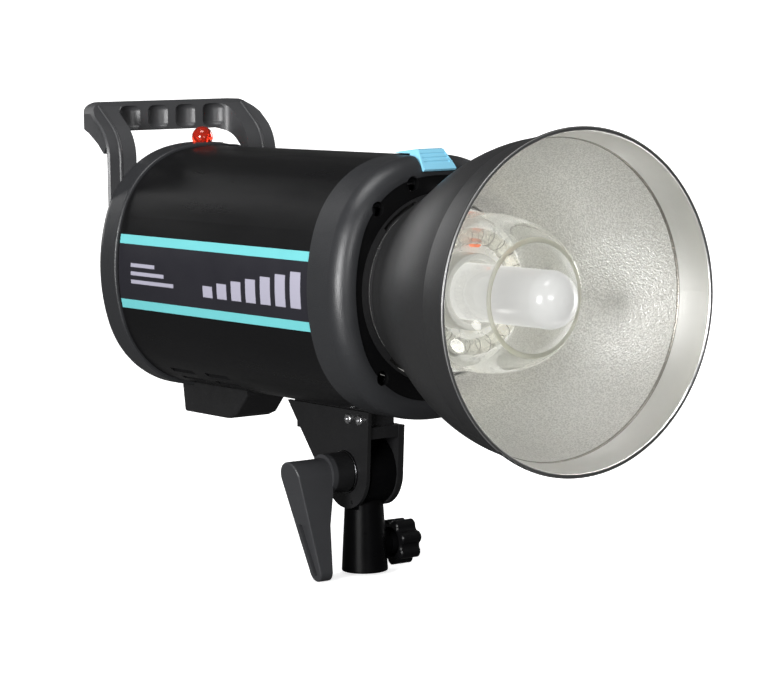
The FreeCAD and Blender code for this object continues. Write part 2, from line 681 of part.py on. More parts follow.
def arch_block(half, top, corner):
    """Block along X with its two upper corners rounded."""
    shape = block(HANDLE_BACK - 5, -200.0, -half, half, 20.0, top)
    edges = [e for e in shape.Edges if abs(e.tangentAt(e.FirstParameter).x) > 0.99 and e.BoundBox.ZMin > top - 1]
    return shape.makeFillet(corner, edges)


def grip_bar():
    """Bar across the back of the arch, with a gusset down to each leg."""
    bar = polygon_y([(HANDLE_BACK, HANDLE_TOP), (HANDLE_BACK, 82.5), (-238.5, 79.0), (-228.5, 73.0), (-221.5, 67.0),
                     (-218.0, 72.0), (-223.0, 82.0), (GRIP_FACE, 94.0), (GRIP_FACE, HANDLE_TOP)], -GRIP_SPAN, GRIP_SPAN)
    corners = [e for e in edges_at_x(bar, HANDLE_BACK) if abs(e.tangentAt(e.FirstParameter).z) > 0.99]
    bar = bar.makeFillet(5.0, corners)
    return bar.makeFillet(2.5, [e for e in bar.Edges if e.BoundBox.ZMin > HANDLE_TOP - 0.01
                                and e.BoundBox.XMax < GRIP_FACE - 1])


def finger_scoop(y):
    """Upright round-ended tool that dishes the bar's front face."""
    tool = rod_z(GRIP_BOTTOM + 1.0, 94.4, FINGER_R, GRIP_FACE - FINGER_DEPTH + FINGER_R, y)
    return tool.makeFillet(3.3, [e for e in tool.Edges if e.BoundBox.ZLength < 0.01])


def carry_handle():
    """Arch whose legs rise from the bezel and lean back over a bar for the fingers."""
    pivot = V(HANDLE_PIVOT[0], 0, HANDLE_PIVOT[1])
    section = handle_section(pivot.z)
    lean = math.radians(HANDLE_LEAN)
    leaning = turned(section, HANDLE_LEAN, V(0, -1, 0), pivot)
    handle = section.extrude(V(0, 0, 26.0 - pivot.z))
    handle = handle.fuse(section.revolve(pivot, V(0, -1, 0), HANDLE_LEAN))
    handle = handle.fuse(leaning.extrude(V(-math.sin(lean), 0, math.cos(lean)) * 30.0))
    handle = handle.fuse(grip_bar()).common(arch_block(HANDLE_HALF, HANDLE_TOP, HANDLE_CORNER))
    handle = handle.common(block(HANDLE_BACK, HANDLE_FRONT, -70, 70, 20.0, HANDLE_TOP + 10))
    handle = handle.cut(arch_block(GRIP_HALF, GRIP_BOTTOM, 9.0))
    reach = polygon_y([(GRIP_FACE, 60.0), (GRIP_FACE, 110.0), (-190.0, 110.0), (-190.0, 60.0)], -GRIP_HALF, GRIP_HALF)
    handle = handle.cut(reach.makeFillet(7.0, [e for e in edges_at_x(reach, GRIP_FACE)
                                               if abs(e.tangentAt(e.FirstParameter).z) > 0.99]))
    for k in range(FINGER_COUNT):
        handle = handle.cut(finger_scoop((k - (FINGER_COUNT - 1) / 2) * FINGER_PITCH))
    handle = handle.cut(bezel_outer()).cut(oval(HANDLE_BACK, -200.0, 1.0 - PANEL_INSET))
    for y in (-HANDLE_PEG[1], HANDLE_PEG[1]):
        handle = handle.fuse(rod_z(44.0, 58.0, 2.0, HANDLE_PEG[0], y))
    save("carry_handle", handle.removeSplitter())


def slave_dome():
    x, z = SLAVE_C
    ball = Part.makeSphere(SLAVE_R, V(x, 0, z))
    ball = ball.cut(rod_z(z - SLAVE_R - 1, z - 3.0, SLAVE_R + 2, x, 0))
    neck = rod_z(z - 6.5, z - 3.0, SLAVE_SEAT_R - 0.6, x, 0)
    dome = ball.fuse(neck).cut(rod_z(z - 7, z - 1.0, 2.6, x, 0))
    save("slave_dome", dome.removeSplitter())


def foot_block():
    foot = polygon_y([(-212, -62), (-208.5, -86), (-205, -88), (-158, -88), (-151, -85.5), (-139, -73),
                      (-137, -62)], -14.5, 14.5)
    upright = [e for e in foot.Edges if abs(e.tangentAt(e.FirstParameter).y) < 0.01
               and e.BoundBox.XMax < -205 and e.BoundBox.ZLength > 5]
    foot = foot.makeFillet(3.0, upright)
    foot = foot.makeFillet(1.6, [e for e in foot.Edges if e.BoundBox.ZMax < -70 and e.BoundBox.XMin > -204
                                 and abs(e.BoundBox.YMin) > 14])
    foot = foot.cut(oval(-SHELL_LEN, 0, 0.05)).cut(oval(-240, -SHELL_LEN, BEZEL_PROUD + 0.05))
    save("foot_block", foot)


# ---- control panel --------------------------------------------------------------------------------
def control_panel():
    panel = oval(PANEL_BACK, PANEL_FRONT, -PANEL_INSET)
    x0, x1 = PANEL_BACK - 1, PANEL_FRONT + 1
    panel = panel.cut(rounded_slab_x(x0, x1, *DISPLAY_C, *DISPLAY_SIZE, 2.0))
    for y in BUTTON_Y:
        panel = panel.cut(rod_x(x0, x1, BUTTON_R + GAP, y, BUTTON_Z))
    panel = panel.cut(rod_x(x0, x1, SHAFT_R + RUN_FIT, *DIAL_C))
    y, z = ROCKER_C
    panel = panel.cut(block(x0, x1, y - 6.6, y + 6.6, z - 9.2, z + 9.2))
    y, z = INLET_C
    panel = panel.cut(block(x0, x1, y - 13.6, y + 13.6, z - 9.8, z + 9.8))
    panel = panel.cut(rod_x(x0, x1, 6.5, *FUSE_C))
    panel = panel.cut(rod_x(x0, x1, 4.0, *JACK_C))
    y, z = PORT_C
    panel = panel.cut(block(x0, x1, y - 6.6, y + 6.6, z - 3.0, z + 3.0))
    for y, z in PANEL_SCREWS:
        panel = panel.cut(rod_x(x0, x1, 1.2, y, z))
    save("control_panel", panel)
    screws = [pan_screw_x(PANEL_BACK, y, z, 2.6, 1.8, 1.2, 6.0, 1) for y, z in PANEL_SCREWS]
    save("panel_screws", *screws)


def display_window():
    wide, high = DISPLAY_SIZE
    window = rounded_slab_x(PANEL_BACK - 0.2, PANEL_BACK + 1.3, *DISPLAY_C, wide, high, 2.0)
    save("display_window", window)


def push_buttons():
    for index, y in enumerate(BUTTON_Y):
        cap = rod_x(PANEL_BACK - 2.6, PANEL_FRONT + 0.2, BUTTON_R, y, BUTTON_Z)
        cap = cap.makeFillet(0.7, edges_at_x(cap, PANEL_BACK - 2.6))
        flange = rod_x(PANEL_FRONT + 0.2, PANEL_FRONT + 1.2, BUTTON_R + 1.4, y, BUTTON_Z)
        stem = rod_x(PANEL_FRONT + 1.2, PANEL_FRONT + 4.4, 1.6, y, BUTTON_Z)
        save("button_%d" % (index + 1), cap.fuse(flange).fuse(stem))


def power_dial():
    y, z = DIAL_C
    back = PANEL_BACK - 13.0
    knob = rod_x(back, PANEL_BACK - 0.6, DIAL_R, y, z)
    knob = knob.makeFillet(1.5, edges_at_x(knob, back))
    for k in range(18):
        a = math.radians(20 * k)
        flute = rod_x(back - 1, PANEL_BACK - 4.0, 1.1, y + (DIAL_R + 0.4) * math.cos(a),
                      z + (DIAL_R + 0.4) * math.sin(a))
        knob = knob.cut(flute)
    knob = knob.cut(block(back - 1, back + 0.8, y - 0.7, y + 0.7, z + 4.0, z + DIAL_R + 1))
    shaft = rod_x(PANEL_BACK - 0.6, PANEL_FRONT + 5.0, SHAFT_R, y, z)
    save("power_dial", knob.fuse(shaft))


def power_rocker():
    """Rocker: a slice of a cylinder about its own pivot, dished by two flats."""
    y, z = ROCKER_C
    drum = rod_y(y - 6.3, y + 6.3, ROCKER_R, ROCKER_X, z)
    drum = drum.cut(block(ROCKER_X + 2.0, ROCKER_X + 20, y - 9, y + 9, z - 20, z + 20))
    tilt = 7.0
    for sign in (-1, 1):
        flat = block(-20, 0, -9, 9, -3 if sign > 0 else -20, 20 if sign > 0 else 3)
        flat.translate(V(0, y, 0))
        flat.rotate(V(0, 0, 0), V(0, 1, 0), sign * 14.0)
        flat.translate(V(ROCKER_X - 6.6, 0, z))
        drum = drum.cut(flat)
    drum.rotate(V(ROCKER_X, y, z), V(0, 1, 0), tilt)
    for end in (y - 8.0, y + 5.0):
        drum = drum.fuse(rod_y(end, end + 3.0, 1.5, ROCKER_X, z))
    save("power_rocker", drum)
    case = block(PANEL_FRONT, PANEL_FRONT + 9.5, y - 9.5, y + 9.5, z - 12, z + 12)
    case = case.cut(block(PANEL_FRONT - 1, PANEL_FRONT + 8.2, y - 6.6, y + 6.6, z - 9.2, z + 9.2))
    case = case.cut(rod_y(y - 8.1, y + 8.1, 1.5 + RUN_FIT, ROCKER_X, z))
    save("switch_case", case)


def mains_inlet():
    y, z = INLET_C
    body = block(PANEL_BACK, -197.0, y - 13.5, y + 13.5, z - 9.7, z + 9.7)
    flange = rounded_slab_x(PANEL_BACK - 2.0, PANEL_BACK, y, z, 31.0, 24.0, 3.0)
    cavity = polygon_x([(y - 12.2, z + 8.2), (y + 12.2, z + 8.2), (y + 12.2, z - 3.6), (y + 7.4, z - 8.2),
                        (y - 7.4, z - 8.2), (y - 12.2, z - 3.6)], PANEL_BACK - 3, -201.0)
    inlet = body.fuse(flange).cut(cavity)
    pins = []
    for dy, dz in ((-7.0, 1.6), (0.0, -2.4), (7.0, 1.6)):
        pin = block(-214.0, -194.0, y + dy - 1.0, y + dy + 1.0, z + dz - 2.0, z + dz + 2.0)
        pins.append(pin)
        inlet = inlet.cut(pin)
    save("mains_inlet", inlet.removeSplitter())
    save("inlet_pins", *pins)


def fuse():
    y, z = FUSE_C
    holder = tube_x(PANEL_BACK, -190.0, 6.5, 4.05, y, z)
    holder = holder.fuse(rod_x(-192.0, -190.0, 6.5, y, z)).fuse(tube_x(PANEL_BACK - 1.2, PANEL_BACK, 8.0, 4.05, y, z))
    save("fuse_holder", holder.removeSplitter())
    cap = rod_x(PANEL_BACK - 6.5, PANEL_BACK - 1.3, 7.0, y, z)
    cap = cap.makeFillet(0.8, edges_at_x(cap, PANEL_BACK - 6.5))
    cap = cap.cut(block(PANEL_BACK - 7, PANEL_BACK - 5.3, y - 5.0, y + 5.0, z - 0.8, z + 0.8))
    cap = cap.fuse(rod_x(PANEL_BACK - 1.3, -204.0, 4.0, y, z))
    save("fuse_cap", cap.removeSplitter())


def sockets():
    jack = tube_x(PANEL_BACK - 0.8, -203.0, 4.0, 1.8, *JACK_C)
    jack = jack.fuse(tube_x(PANEL_BACK - 0.8, PANEL_BACK, 5.6, 1.8, *JACK_C))
    save("sync_jack", jack.removeSplitter())
    y, z = PORT_C
    port = block(PANEL_BACK, -203.0, y - 6.6, y + 6.6, z - 3.0, z + 3.0)
    port = port.cut(block(PANEL_BACK - 1, -205.0, y - 6.0, y + 6.0, z - 2.4, z + 2.4))
    port = port.fuse(block(-214.0, -204.0, y - 5.6, y + 5.6, z + 0.3, z + 2.0))
    save("wireless_port", port.removeSplitter())


# ---- inside the body ---------------------------------------------------------------------------------
def inner_parts():
    deck = block(-188.0, -8.0, -48.0, 48.0, DECK_Z - 2.0, DECK_Z)
    save("chassis_plate", deck)
    cells = []
    for y in CELL_Y:
        cell = rod_x(-122.0, -28.0, CAP_CELL_R, y, CELL_Z)
        cell = cell.makeFillet(1.5, edges_at_x(cell, -122.0))
        for dy in (-5.0, 5.0):
            cell = cell.fuse(rod_x(-128.0, -121.0, 2.5, y + dy, CELL_Z))
        cells.append(cell)
    save("flash_capacitors", *cells)
    clamp = block(-80.0, -72.0, -58.5, 58.5, DECK_Z, CELL_Z + CAP_CELL_R + 3.0)
    for y in CELL_Y:
        clamp = clamp.cut(rod_x(-82.0, -70.0, CAP_CELL_R, y, CELL_Z))
    clamp = clamp.common(oval(-82, -70, -SHELL_WALL - 2))
    save("capacitor_clamp", clamp)
    board = block(-170.0, -26.0, -42.0, 42.0, 24.0, 25.6)
    for x in (-166.0, -136.0):
        for y in (-37.0, 37.0):
            board = board.fuse(rod_z(DECK_Z, 24.0, 3.0, x, y))
    for x, y, wide, deep, high in ((-60, -22, 22, 14, 12), (-95, 20, 16, 16, 18), (-50, 24, 12, 20, 9),
                                   (-120, -20, 28, 18, 15)):
        board = board.fuse(block(x - wide / 2, x + wide / 2, y - deep / 2, y + deep / 2, 25.6, 25.6 + high))
    coil = rod_z(25.6, 46.0, 13.0, -148.0, 16.0).cut(rod_z(30.0, 47.0, 5.0, -148.0, 16.0))
    save("power_board", board.fuse(coil).removeSplitter())


def control_board():
    """Board behind the panel with the display module and the dial's encoder on it."""
    board = block(BOARD_X, BOARD_X + 1.6, -44.0, 44.0, -24.0, 46.0)
    wide, high = DISPLAY_SIZE
    module = rounded_slab_x(PANEL_BACK + 1.4, BOARD_X, *DISPLAY_C, wide - 1, high - 1, 1.5)
    y, z = DIAL_C
    coder = block(PANEL_FRONT, BOARD_X, y - 7, y + 7, z - 7, z + 7)
    coder = coder.cut(rod_x(PANEL_FRONT - 1, PANEL_FRONT + 5.6, SHAFT_R + RUN_FIT, y, z))
    save("control_board", board.fuse(module).fuse(coder).removeSplitter())


def fan():
    frame = block(-192.0, -177.0, -40.0, 40.0, FAN_C - 40.0, FAN_C + 40.0)
    frame = frame.cut(rod_x(-193.0, -176.0, FAN_R + 1.5, 0, FAN_C))
    motor = rod_x(-179.0, -177.0, 14.0, 0, FAN_C)
    for k in range(3):
        arm = block(-179.0, -177.0, -2.0, 2.0, 0, FAN_R + 3)
        arm.translate(V(0, 0, FAN_C))
        motor = motor.fuse(turned(arm, 120 * k, V(1, 0, 0), V(0, 0, FAN_C)))
    pin = rod_x(-190.0, -178.0, 1.5, 0, FAN_C)
    save("fan_frame", frame.fuse(motor).fuse(pin).removeSplitter())
    hub = rod_x(-190.5, -180.0, 13.0, 0, FAN_C)
    blades = hub
    for k in range(7):
        blade = block(-0.7, 0.7, -7.0, 7.0, 11.0, FAN_R)
        blade.rotate(V(0, 0, 0), V(0, 0, 1), 52)
        blade.translate(V(-185.2, 0, FAN_C))
        blades = blades.fuse(turned(blade, 360 / 7 * k, V(1, 0, 0), V(0, 0, FAN_C)))
    keep = rod_x(-190.5, -180.0, FAN_R, 0, FAN_C)
    blades = blades.common(keep).cut(rod_x(-192.0, -178.0, 1.5 + RUN_FIT, 0, FAN_C))
    save("fan_rotor", blades.removeSplitter())


# ---- tilt bracket (socket frame) ------------------------------------------------------------------------
def tangent_point(px, pz, r, side):
    """Where a line from px, pz touches the circle of radius r about the pivot."""
    dx, dz = px, pz - PIVOT_Z
    dist = math.hypot(dx, dz)
    turn = side * math.acos(r / dist)
    a = math.atan2(dz, dx) + turn
    return r * math.cos(a), PIVOT_Z + r * math.sin(a)


def ear_plate(y0, y1):
    """Ear outline: straight top, two straight flanks, round end about the pivot."""
    back = tangent_point(EAR_BACK, EAR_TOP, EAR_R, 1)
    front = tangent_point(EAR_FRONT, EAR_TOP, EAR_R, -1)
    wire = Part.Wire([
        line(V(EAR_BACK, y0, EAR_TOP), V(back[0], y0, back[1])),
        arc(V(back[0], y0, back[1]), V(0, y0, PIVOT_Z - EAR_R), V(front[0], y0, front[1])),
        line(V(front[0], y0, front[1]), V(EAR_FRONT, y0, EAR_TOP)),
        line(V(EAR_FRONT, y0, EAR_TOP), V(EAR_BACK, y0, EAR_TOP)),
    ])
    return Part.Face(wire).extrude(V(0, y1 - y0, 0))


def bracket():
    near = ear_plate(-EAR_OUT, NEAR_EAR_IN).cut(rod_y(-20, 0, PIVOT_R, 0, PIVOT_Z))
    near = near.cut(rod_y(-EAR_OUT - 1, -EAR_OUT + 0.8, 1.2, 6.0, PIVOT_Z - 16.5))
    pad = block(EAR_BACK + 4, BLOCK_FRONT - 3.0, NEAR_EAR_IN, PAD_HALF, BLOCK_TOP, AXIS_Z - HALF_H + 3)
    body = oval(-SHELL_LEN, 0, 0.0)
    body.translate(LAMP_ORIGIN)
    pad = pad.cut(body)
    for x, z in EAR_SCREWS:
        near = near.cut(rod_y(-20, 0, 1.5, x, z))
        pad = pad.cut(rod_y(-20, -3.0, 1.5, x, z))
    save_stand("near_ear", near)
    casting = ear_plate(FAR_EAR_IN, EAR_OUT).common(block(-80, 60, 0, 20, 0, BLOCK_TOP))
    beam = block(EAR_BACK + 6, BLOCK_FRONT, NEAR_EAR_IN, EAR_OUT, BLOCK_BOTTOM, BLOCK_TOP)
    casting = casting.fuse(beam).removeSplitter()
    casting = casting.cut(rod_y(0, 20, PIVOT_R, 0, PIVOT_Z))
    for x in PAD_BOLT_X:
        casting = casting.cut(rod_z(BLOCK_BOTTOM - 1, BLOCK_TOP + 1, PAD_BOLT_R, x))
        casting = casting.cut(rod_z(BLOCK_BOTTOM - 1, BLOCK_BOTTOM + 3.6, 5.4, x))
        pad = pad.cut(rod_z(BLOCK_TOP - 1, AXIS_Z - HALF_H + 5, PAD_BOLT_R, x))
    save_stand("yoke_casting", casting)
    save_stand("mount_pad", pad)
    screws = []
    for x, z in EAR_SCREWS:
        head = rod_y(-EAR_OUT - 1.7, -EAR_OUT, 2.9, x, z)
        rim = [e for e in head.Edges if abs(e.BoundBox.YMax + EAR_OUT + 1.7) < 1e-4]
        head = head.makeFillet(0.9, rim)
        head = head.cut(rod_y(-EAR_OUT - 1.8, -EAR_OUT - 0.9, 1.1, x, z))
        screws.append(head.fuse(rod_y(-EAR_OUT, -3.2, 1.5, x, z)))
    save_stand("ear_screws", *screws)
    bolts = []
    for x in PAD_BOLT_X:
        bolt = rod_z(BLOCK_BOTTOM + 0.2, BLOCK_BOTTOM + 3.6, 5.0, x)
        bolt = bolt.fuse(rod_z(BLOCK_BOTTOM + 3.6, AXIS_Z - HALF_H + 10, PAD_BOLT_R, x))
        nut_z = AXIS_Z - HALF_H + SHELL_WALL + 0.2
        nut = Part.Face(Part.makePolygon([V(x + 5.5 * math.cos(math.radians(60 * k)),
                                            5.5 * math.sin(math.radians(60 * k)), nut_z)
                                          for k in range(7)])).extrude(V(0, 0, 4.5))
        bolts.append(bolt.fuse(nut))
    save_stand("pad_bolts", *bolts)


def pivot_parts():
    bolt = rod_y(-23.0, EAR_OUT, PIVOT_R, 0, PIVOT_Z)
    hexagon = Part.makePolygon([V(7.5 * math.cos(math.radians(60 * k)), EAR_OUT,
                                  PIVOT_Z + 7.5 * math.sin(math.radians(60 * k))) for k in range(7)])
    bolt = bolt.fuse(Part.Face(hexagon).extrude(V(0, 5.3, 0)))
    save_stand("pivot_bolt", bolt)
    washer = rod_y(-EAR_OUT - 1.3, -EAR_OUT, 12.2, 0, PIVOT_Z)
    rim = [e for e in washer.Edges if abs(e.BoundBox.YMax + EAR_OUT + 1.3) < 1e-4]
    washer = washer.makeFillet(0.5, rim).cut(rod_y(-20, 0, PIVOT_R, 0, PIVOT_Z))
    save_stand("pivot_washer", washer)
    friction = rod_y(NEAR_EAR_IN, -HEAD_HALF - 0.25, 17.0, 0, PIVOT_Z).cut(rod_y(-20, 0, PIVOT_R, 0, PIVOT_Z))
    save_stand("friction_washer", friction)


def lever_outline(y, grow=0.0):
    """Side outline of the lever: a big and a small round end joined by their tangents."""
    tx, tz = LEVER_TIP
    r0, r1 = LEVER_TOP_R + grow, LEVER_TIP_R + grow
    dx, dz = tx, tz - PIVOT_Z
    dist = math.hypot(dx, dz)
    base = math.atan2(dz, dx)
    spread = math.acos((r0 - r1) / dist)

    def on(cx, cz, r, a):
        return V(cx + r * math.cos(a), y, cz + r * math.sin(a))

    a, b = base + spread, base - spread
    return Part.Wire([
        arc(on(0, PIVOT_Z, r0, a), on(0, PIVOT_Z, r0, base + math.pi), on(0, PIVOT_Z, r0, b)),
        line(on(0, PIVOT_Z, r0, b), on(tx, tz, r1, b)),
        arc(on(tx, tz, r1, b), on(tx, tz, r1, base), on(tx, tz, r1, a)),
        line(on(tx, tz, r1, a), on(0, PIVOT_Z, r0, a)),
    ])


def tilt_lever():
    """Wedge-shaped arm, thick at the hub and thin at the tip, hanging from a round hub."""
    arm = Part.Face(lever_outline(-56.0)).extrude(V(0, 56.0 - 24.0, 0))
    outer_cut = [(-52.3, PIVOT_Z + 12), (-37.2, -4.0), (-70.0, -4.0), (-70.0, PIVOT_Z + 12)]
    inner_cut = [(-26.8, PIVOT_Z + 12), (-27.8, PIVOT_Z - 10), (-30.6, 30.0), (-30.6, -4.0), (-10.0, -4.0),
                 (-10.0, PIVOT_Z + 12)]
    arm = arm.cut(polygon_x(outer_cut, -30, 40)).cut(polygon_x(inner_cut, -30, 40))
    rim = [e for e in arm.Edges if e.BoundBox.YMax < -36.5 and e.BoundBox.DiagonalLength > 6]
    arm = arm.makeFillet(0.9, rim)
    pocket = Part.Face(lever_outline(-60.0, -3.4)).extrude(V(0, 60, 0)).common(block(-20, 30, -60, 0, -10, 31.0))
    skin = polygon_x([(-52.3 + 2.2, PIVOT_Z + 12), (-37.2 + 2.2, -4.0), (-70.0, -4.0), (-70.0, PIVOT_Z + 12)], -30, 40)
    arm = arm.cut(pocket.common(skin))
    hub = rod_y(HUB_OUT - 1.0, -EAR_OUT - 1.3 - 0.25, HUB_R, 0, PIVOT_Z)
    lever = arm.fuse(hub).cut(rod_y(-24.0, 0, PIVOT_R + RUN_FIT, 0, PIVOT_Z))
    save_stand("tilt_lever", lever.removeSplitter())


# ---- stand adapter ----------------------------------------------------------------------------------------
def stand_barrel():
    outline = [V(0, 0, 0), V(BARREL_FOOT_R - 0.9, 0, 0)]
    edges = [
        line(outline[0], outline[1]),
        arc(outline[1], V(BARREL_FOOT_R - 0.25, 0, 0.3), V(BARREL_FOOT_R, 0, 1.0)),
        line(V(BARREL_FOOT_R, 0, 1.0), V(BARREL_NECK_R, 0, PIVOT_Z - 18)),
        line(V(BARREL_NECK_R, 0, PIVOT_Z - 18), V(BARREL_NECK_R, 0, PIVOT_Z)),
        line(V(BARREL_NECK_R, 0, PIVOT_Z), V(0, 0, PIVOT_Z)),
        line(V(0, 0, PIVOT_Z), outline[0]),
    ]
    neck = Part.Face(Part.Wire(edges)).revolve(V(0, 0, 0), V(0, 0, 1), 360)
    waist = block(-40, 40, -HEAD_HALF, HEAD_HALF, SHOULDER_Z, PIVOT_Z + 5)
    neck = neck.common(block(-40, 40, -40, 40, -1, SHOULDER_Z).fuse(waist))
    head = rod_y(-HEAD_HALF, HEAD_HALF, HEAD_R, 0, PIVOT_Z)
    boss = rod_y(SOCKET_R, 14.6, 6.5, 0, LOCK_Z)
    barrel = neck.fuse(head).fuse(boss)
    barrel = barrel.cut(rod_z(-1, SOCKET_DEPTH, SOCKET_R)).cut(rod_y(0, 20, LOCK_R + RUN_FIT, 0, LOCK_Z))
    barrel = barrel.cut(rod_y(-20, 20, PIVOT_R + RUN_FIT, 0, PIVOT_Z))
    save_stand("stand_barrel", barrel.removeSplitter())


def lobed_outline(y, lobes, r_tip, r_valley):
    """Closed outline of alternating arcs: round lobes at r_tip and shallow valleys at r_valley."""
    step = 2 * math.pi / lobes
    r_join = r_valley + 0.45 * (r_tip - r_valley)

    def on(r, a):
        return V(r * math.cos(a), y, LOCK_Z + r * math.sin(a))

    edges = []
    for k in range(lobes):
        a = k * step + 0.3
        edges.append(arc(on(r_join, a - 0.3 * step), on(r_tip, a), on(r_join, a + 0.3 * step)))
        edges.append(arc(on(r_join, a + 0.3 * step), on(r_valley, a + 0.5 * step), on(r_join, a + 0.7 * step)))
    return Part.Wire(edges)


def lock_knob():
    y0, y1 = 17.5, 31.0
    core = Part.Face(lobed_outline(y0, KNOB_LOBES, KNOB_R, KNOB_R - 2.6)).extrude(V(0, y1 - y0, 0))
    ends = [e for e in core.Edges if e.BoundBox.YLength < 0.01]
    core = core.makeChamfer(0.7, ends)
    core = core.cut(rod_y(y0 - 1, y0 + 4, 8.6, 0, LOCK_Z))
    core = core.fuse(rod_y(15.2, y0 + 5, 6.6, 0, LOCK_Z))
    core = core.cut(rod_y(10, 27.0, LOCK_R, 0, LOCK_Z))
    save_stand("lock_knob", core.removeSplitter())
    screw = rod_y(SOCKET_R + 0.25, 27.0, LOCK_R, 0, LOCK_Z)
    save_stand("lock_screw", screw)


def main():
    os.makedirs("parts", exist_ok=True)
    body_shell()
    side_labels()
    front_hood()
    hood_screws()
    front_plate()
    accessory_ring()
    release_latch()
    latch_pin()
    reflector_shell()
    reflector_collar()
    lamp_housing()
    lamp_pan()
    trigger_lamp()
    flash_tube()
    lamp_socket()
    bulb_glass()
    bulb_base()
    glass_dome()
    dome_clips()
    rear_bezel()
    carry_handle()
    slave_dome()
    foot_block()
    control_panel()
    display_window()
    control_board()
    push_buttons()
    power_dial()
    power_rocker()
    mains_inlet()
    fuse()
    sockets()
    inner_parts()
    fan()
    bracket()
    pivot_parts()
    tilt_lever()
    stand_barrel()
    lock_knob()


main()
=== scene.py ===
import json
import math

import bpy
from mathutils import Matrix, Vector


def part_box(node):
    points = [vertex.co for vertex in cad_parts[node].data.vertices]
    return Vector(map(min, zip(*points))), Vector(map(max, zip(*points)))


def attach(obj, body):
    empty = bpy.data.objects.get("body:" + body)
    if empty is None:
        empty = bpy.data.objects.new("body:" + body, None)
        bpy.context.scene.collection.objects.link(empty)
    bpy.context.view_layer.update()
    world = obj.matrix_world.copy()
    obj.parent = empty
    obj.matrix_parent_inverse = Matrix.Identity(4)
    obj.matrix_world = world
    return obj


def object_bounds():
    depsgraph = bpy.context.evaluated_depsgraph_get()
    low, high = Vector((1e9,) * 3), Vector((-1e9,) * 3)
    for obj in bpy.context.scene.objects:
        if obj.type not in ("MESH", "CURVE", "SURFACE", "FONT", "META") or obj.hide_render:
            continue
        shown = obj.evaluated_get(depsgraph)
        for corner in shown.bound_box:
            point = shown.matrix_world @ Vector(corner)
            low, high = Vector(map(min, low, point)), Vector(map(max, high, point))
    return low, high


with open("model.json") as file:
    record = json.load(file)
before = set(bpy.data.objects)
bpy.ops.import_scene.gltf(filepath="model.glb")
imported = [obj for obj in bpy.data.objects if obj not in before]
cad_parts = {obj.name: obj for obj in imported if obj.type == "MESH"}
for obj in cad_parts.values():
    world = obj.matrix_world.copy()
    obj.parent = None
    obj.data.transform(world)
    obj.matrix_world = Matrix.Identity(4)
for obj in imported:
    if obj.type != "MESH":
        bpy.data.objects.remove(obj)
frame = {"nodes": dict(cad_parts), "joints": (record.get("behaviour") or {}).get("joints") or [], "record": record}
CAD_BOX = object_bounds()
RECORD = frame["record"]
NODES = frame["nodes"]
MM = 0.001


def joint_point(name):
    """A joint's place in the row frame."""
    found = next(j for j in frame["joints"] if j["name"] == name)
    return Vector(found["pos_m"])


LAMP = joint_point("reflector_turn")          # on the lamp axis, where the shell meets the hood
DOME_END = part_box("glass_dome")[1].x
BUTTONS = ["button_%d" % n for n in (1, 2, 3, 4)]

# reflector, measured forward from LAMP
BAND = (0.1268, 0.1278)        # where the hammered skin turns into the plain spun band
GROOVE = (0.1262, 0.1280)
LIP = (0.1476, 0.1479)         # where the black outside ends at the rolled edge
SPUN_WAVES = 9000.0            # radians in a metre, along the spun band

# print on the side
STRIPE = (0.0162, 0.0215)      # height of a cyan line above or below the lamp axis
BAR_COUNT = 7
BAR_START = -0.104             # from LAMP, to the first bar
BAR_PITCH = 0.0145
BAR_WIDTH = 0.0098
BAR_FOOT = -0.0095             # from the lamp axis
BAR_HALF = 0.0032              # half the height of the first bar
BAR_GROWTH = 0.0011            # added to that half for every bar
RULE_COUNT = 3
RULE_ENDS = (-0.181, -0.135)   # from LAMP, of the lowest rule
RULE_STEP = 0.010              # each rule above is this much shorter
RULE_FOOT = -0.0065            # from the lamp axis, to the lowest rule
RULE_PITCH = 0.0048
RULE_HEIGHT = 0.0022
PRINT_SOFT = 0.0002            # half the width of a printed edge

# dial ticks and button rules on the panel
TICKS = 24.0
TICK_RADII = (0.0142, 0.0168)
RULE_HALF = 0.0045
RULE_DROP = (0.0092, 0.0084)   # below a button's middle
PANEL_SOFT = 0.0001
DIAL_SWEEP = (2.45, 2.47)      # radians either side of upright where the ticks stop
DISPLAY_CELLS = 420.0          # display segments in a metre
TRACK_WAVES = 2400.0           # radians in a metre, along a circuit board

# small pieces
TUBE_THICK = 8.4 * MM          # ring flash tube
WIRE = 0.4 * MM
WIRE_TURNS = 22
WIRE_STEPS = 12                # points in one turn
WIRE_FROM, WIRE_TO = 158.0, 466.0  # degrees round the ring, clear of the gap between the legs
PAN_SHEET = 1.2 * MM
EYELETS = ((228, 0.0305), (262, 0.031))  # degrees round the lamp axis, and distance from it
EYELET = (0.0024, 0.0044, 0.0016)        # bore radius, outer radius, height
HUB_START = 26.5 * MM          # from the lever's outer side to its round hub
HUB_SOFT = 0.0004

# light
WORLD_LIGHT = 0.13             # what the room throws on the object
WORLD_SEEN = 0.95              # what the camera sees beyond the floor
FLOOR_LIFT = 0.7               # the paper's own light, for the camera only
FLOOR_BOUNCE = 0.12            # the paper's colour for every other ray
FLOOR_GAP = 0.0005             # between the object's lowest point and the floor
SOFT_BOXES = [                 # name, place, width, height, watts
    ("key", (0.8, -1.8, 0.32), 0.8, 0.7, 58),
    ("front", (1.9, -0.6, 0.5), 0.5, 0.4, 10),
    ("top", (0.4, -0.5, 1.8), 1.0, 0.8, 20),
    ("rear", (-2.0, -0.15, 0.7), 0.9, 0.9, 6),
    ("far", (-0.3, 2.0, 0.6), 1.2, 0.9, 30),
]
GLOW = 0.0022                  # watts of each glow light
GLOW_AHEAD = 0.08              # from LAMP
GLOW_SPOTS = ((-0.024, -0.022), (0.03, 0.004))  # y and z from the lamp axis
GLOW_SIZE = 0.004

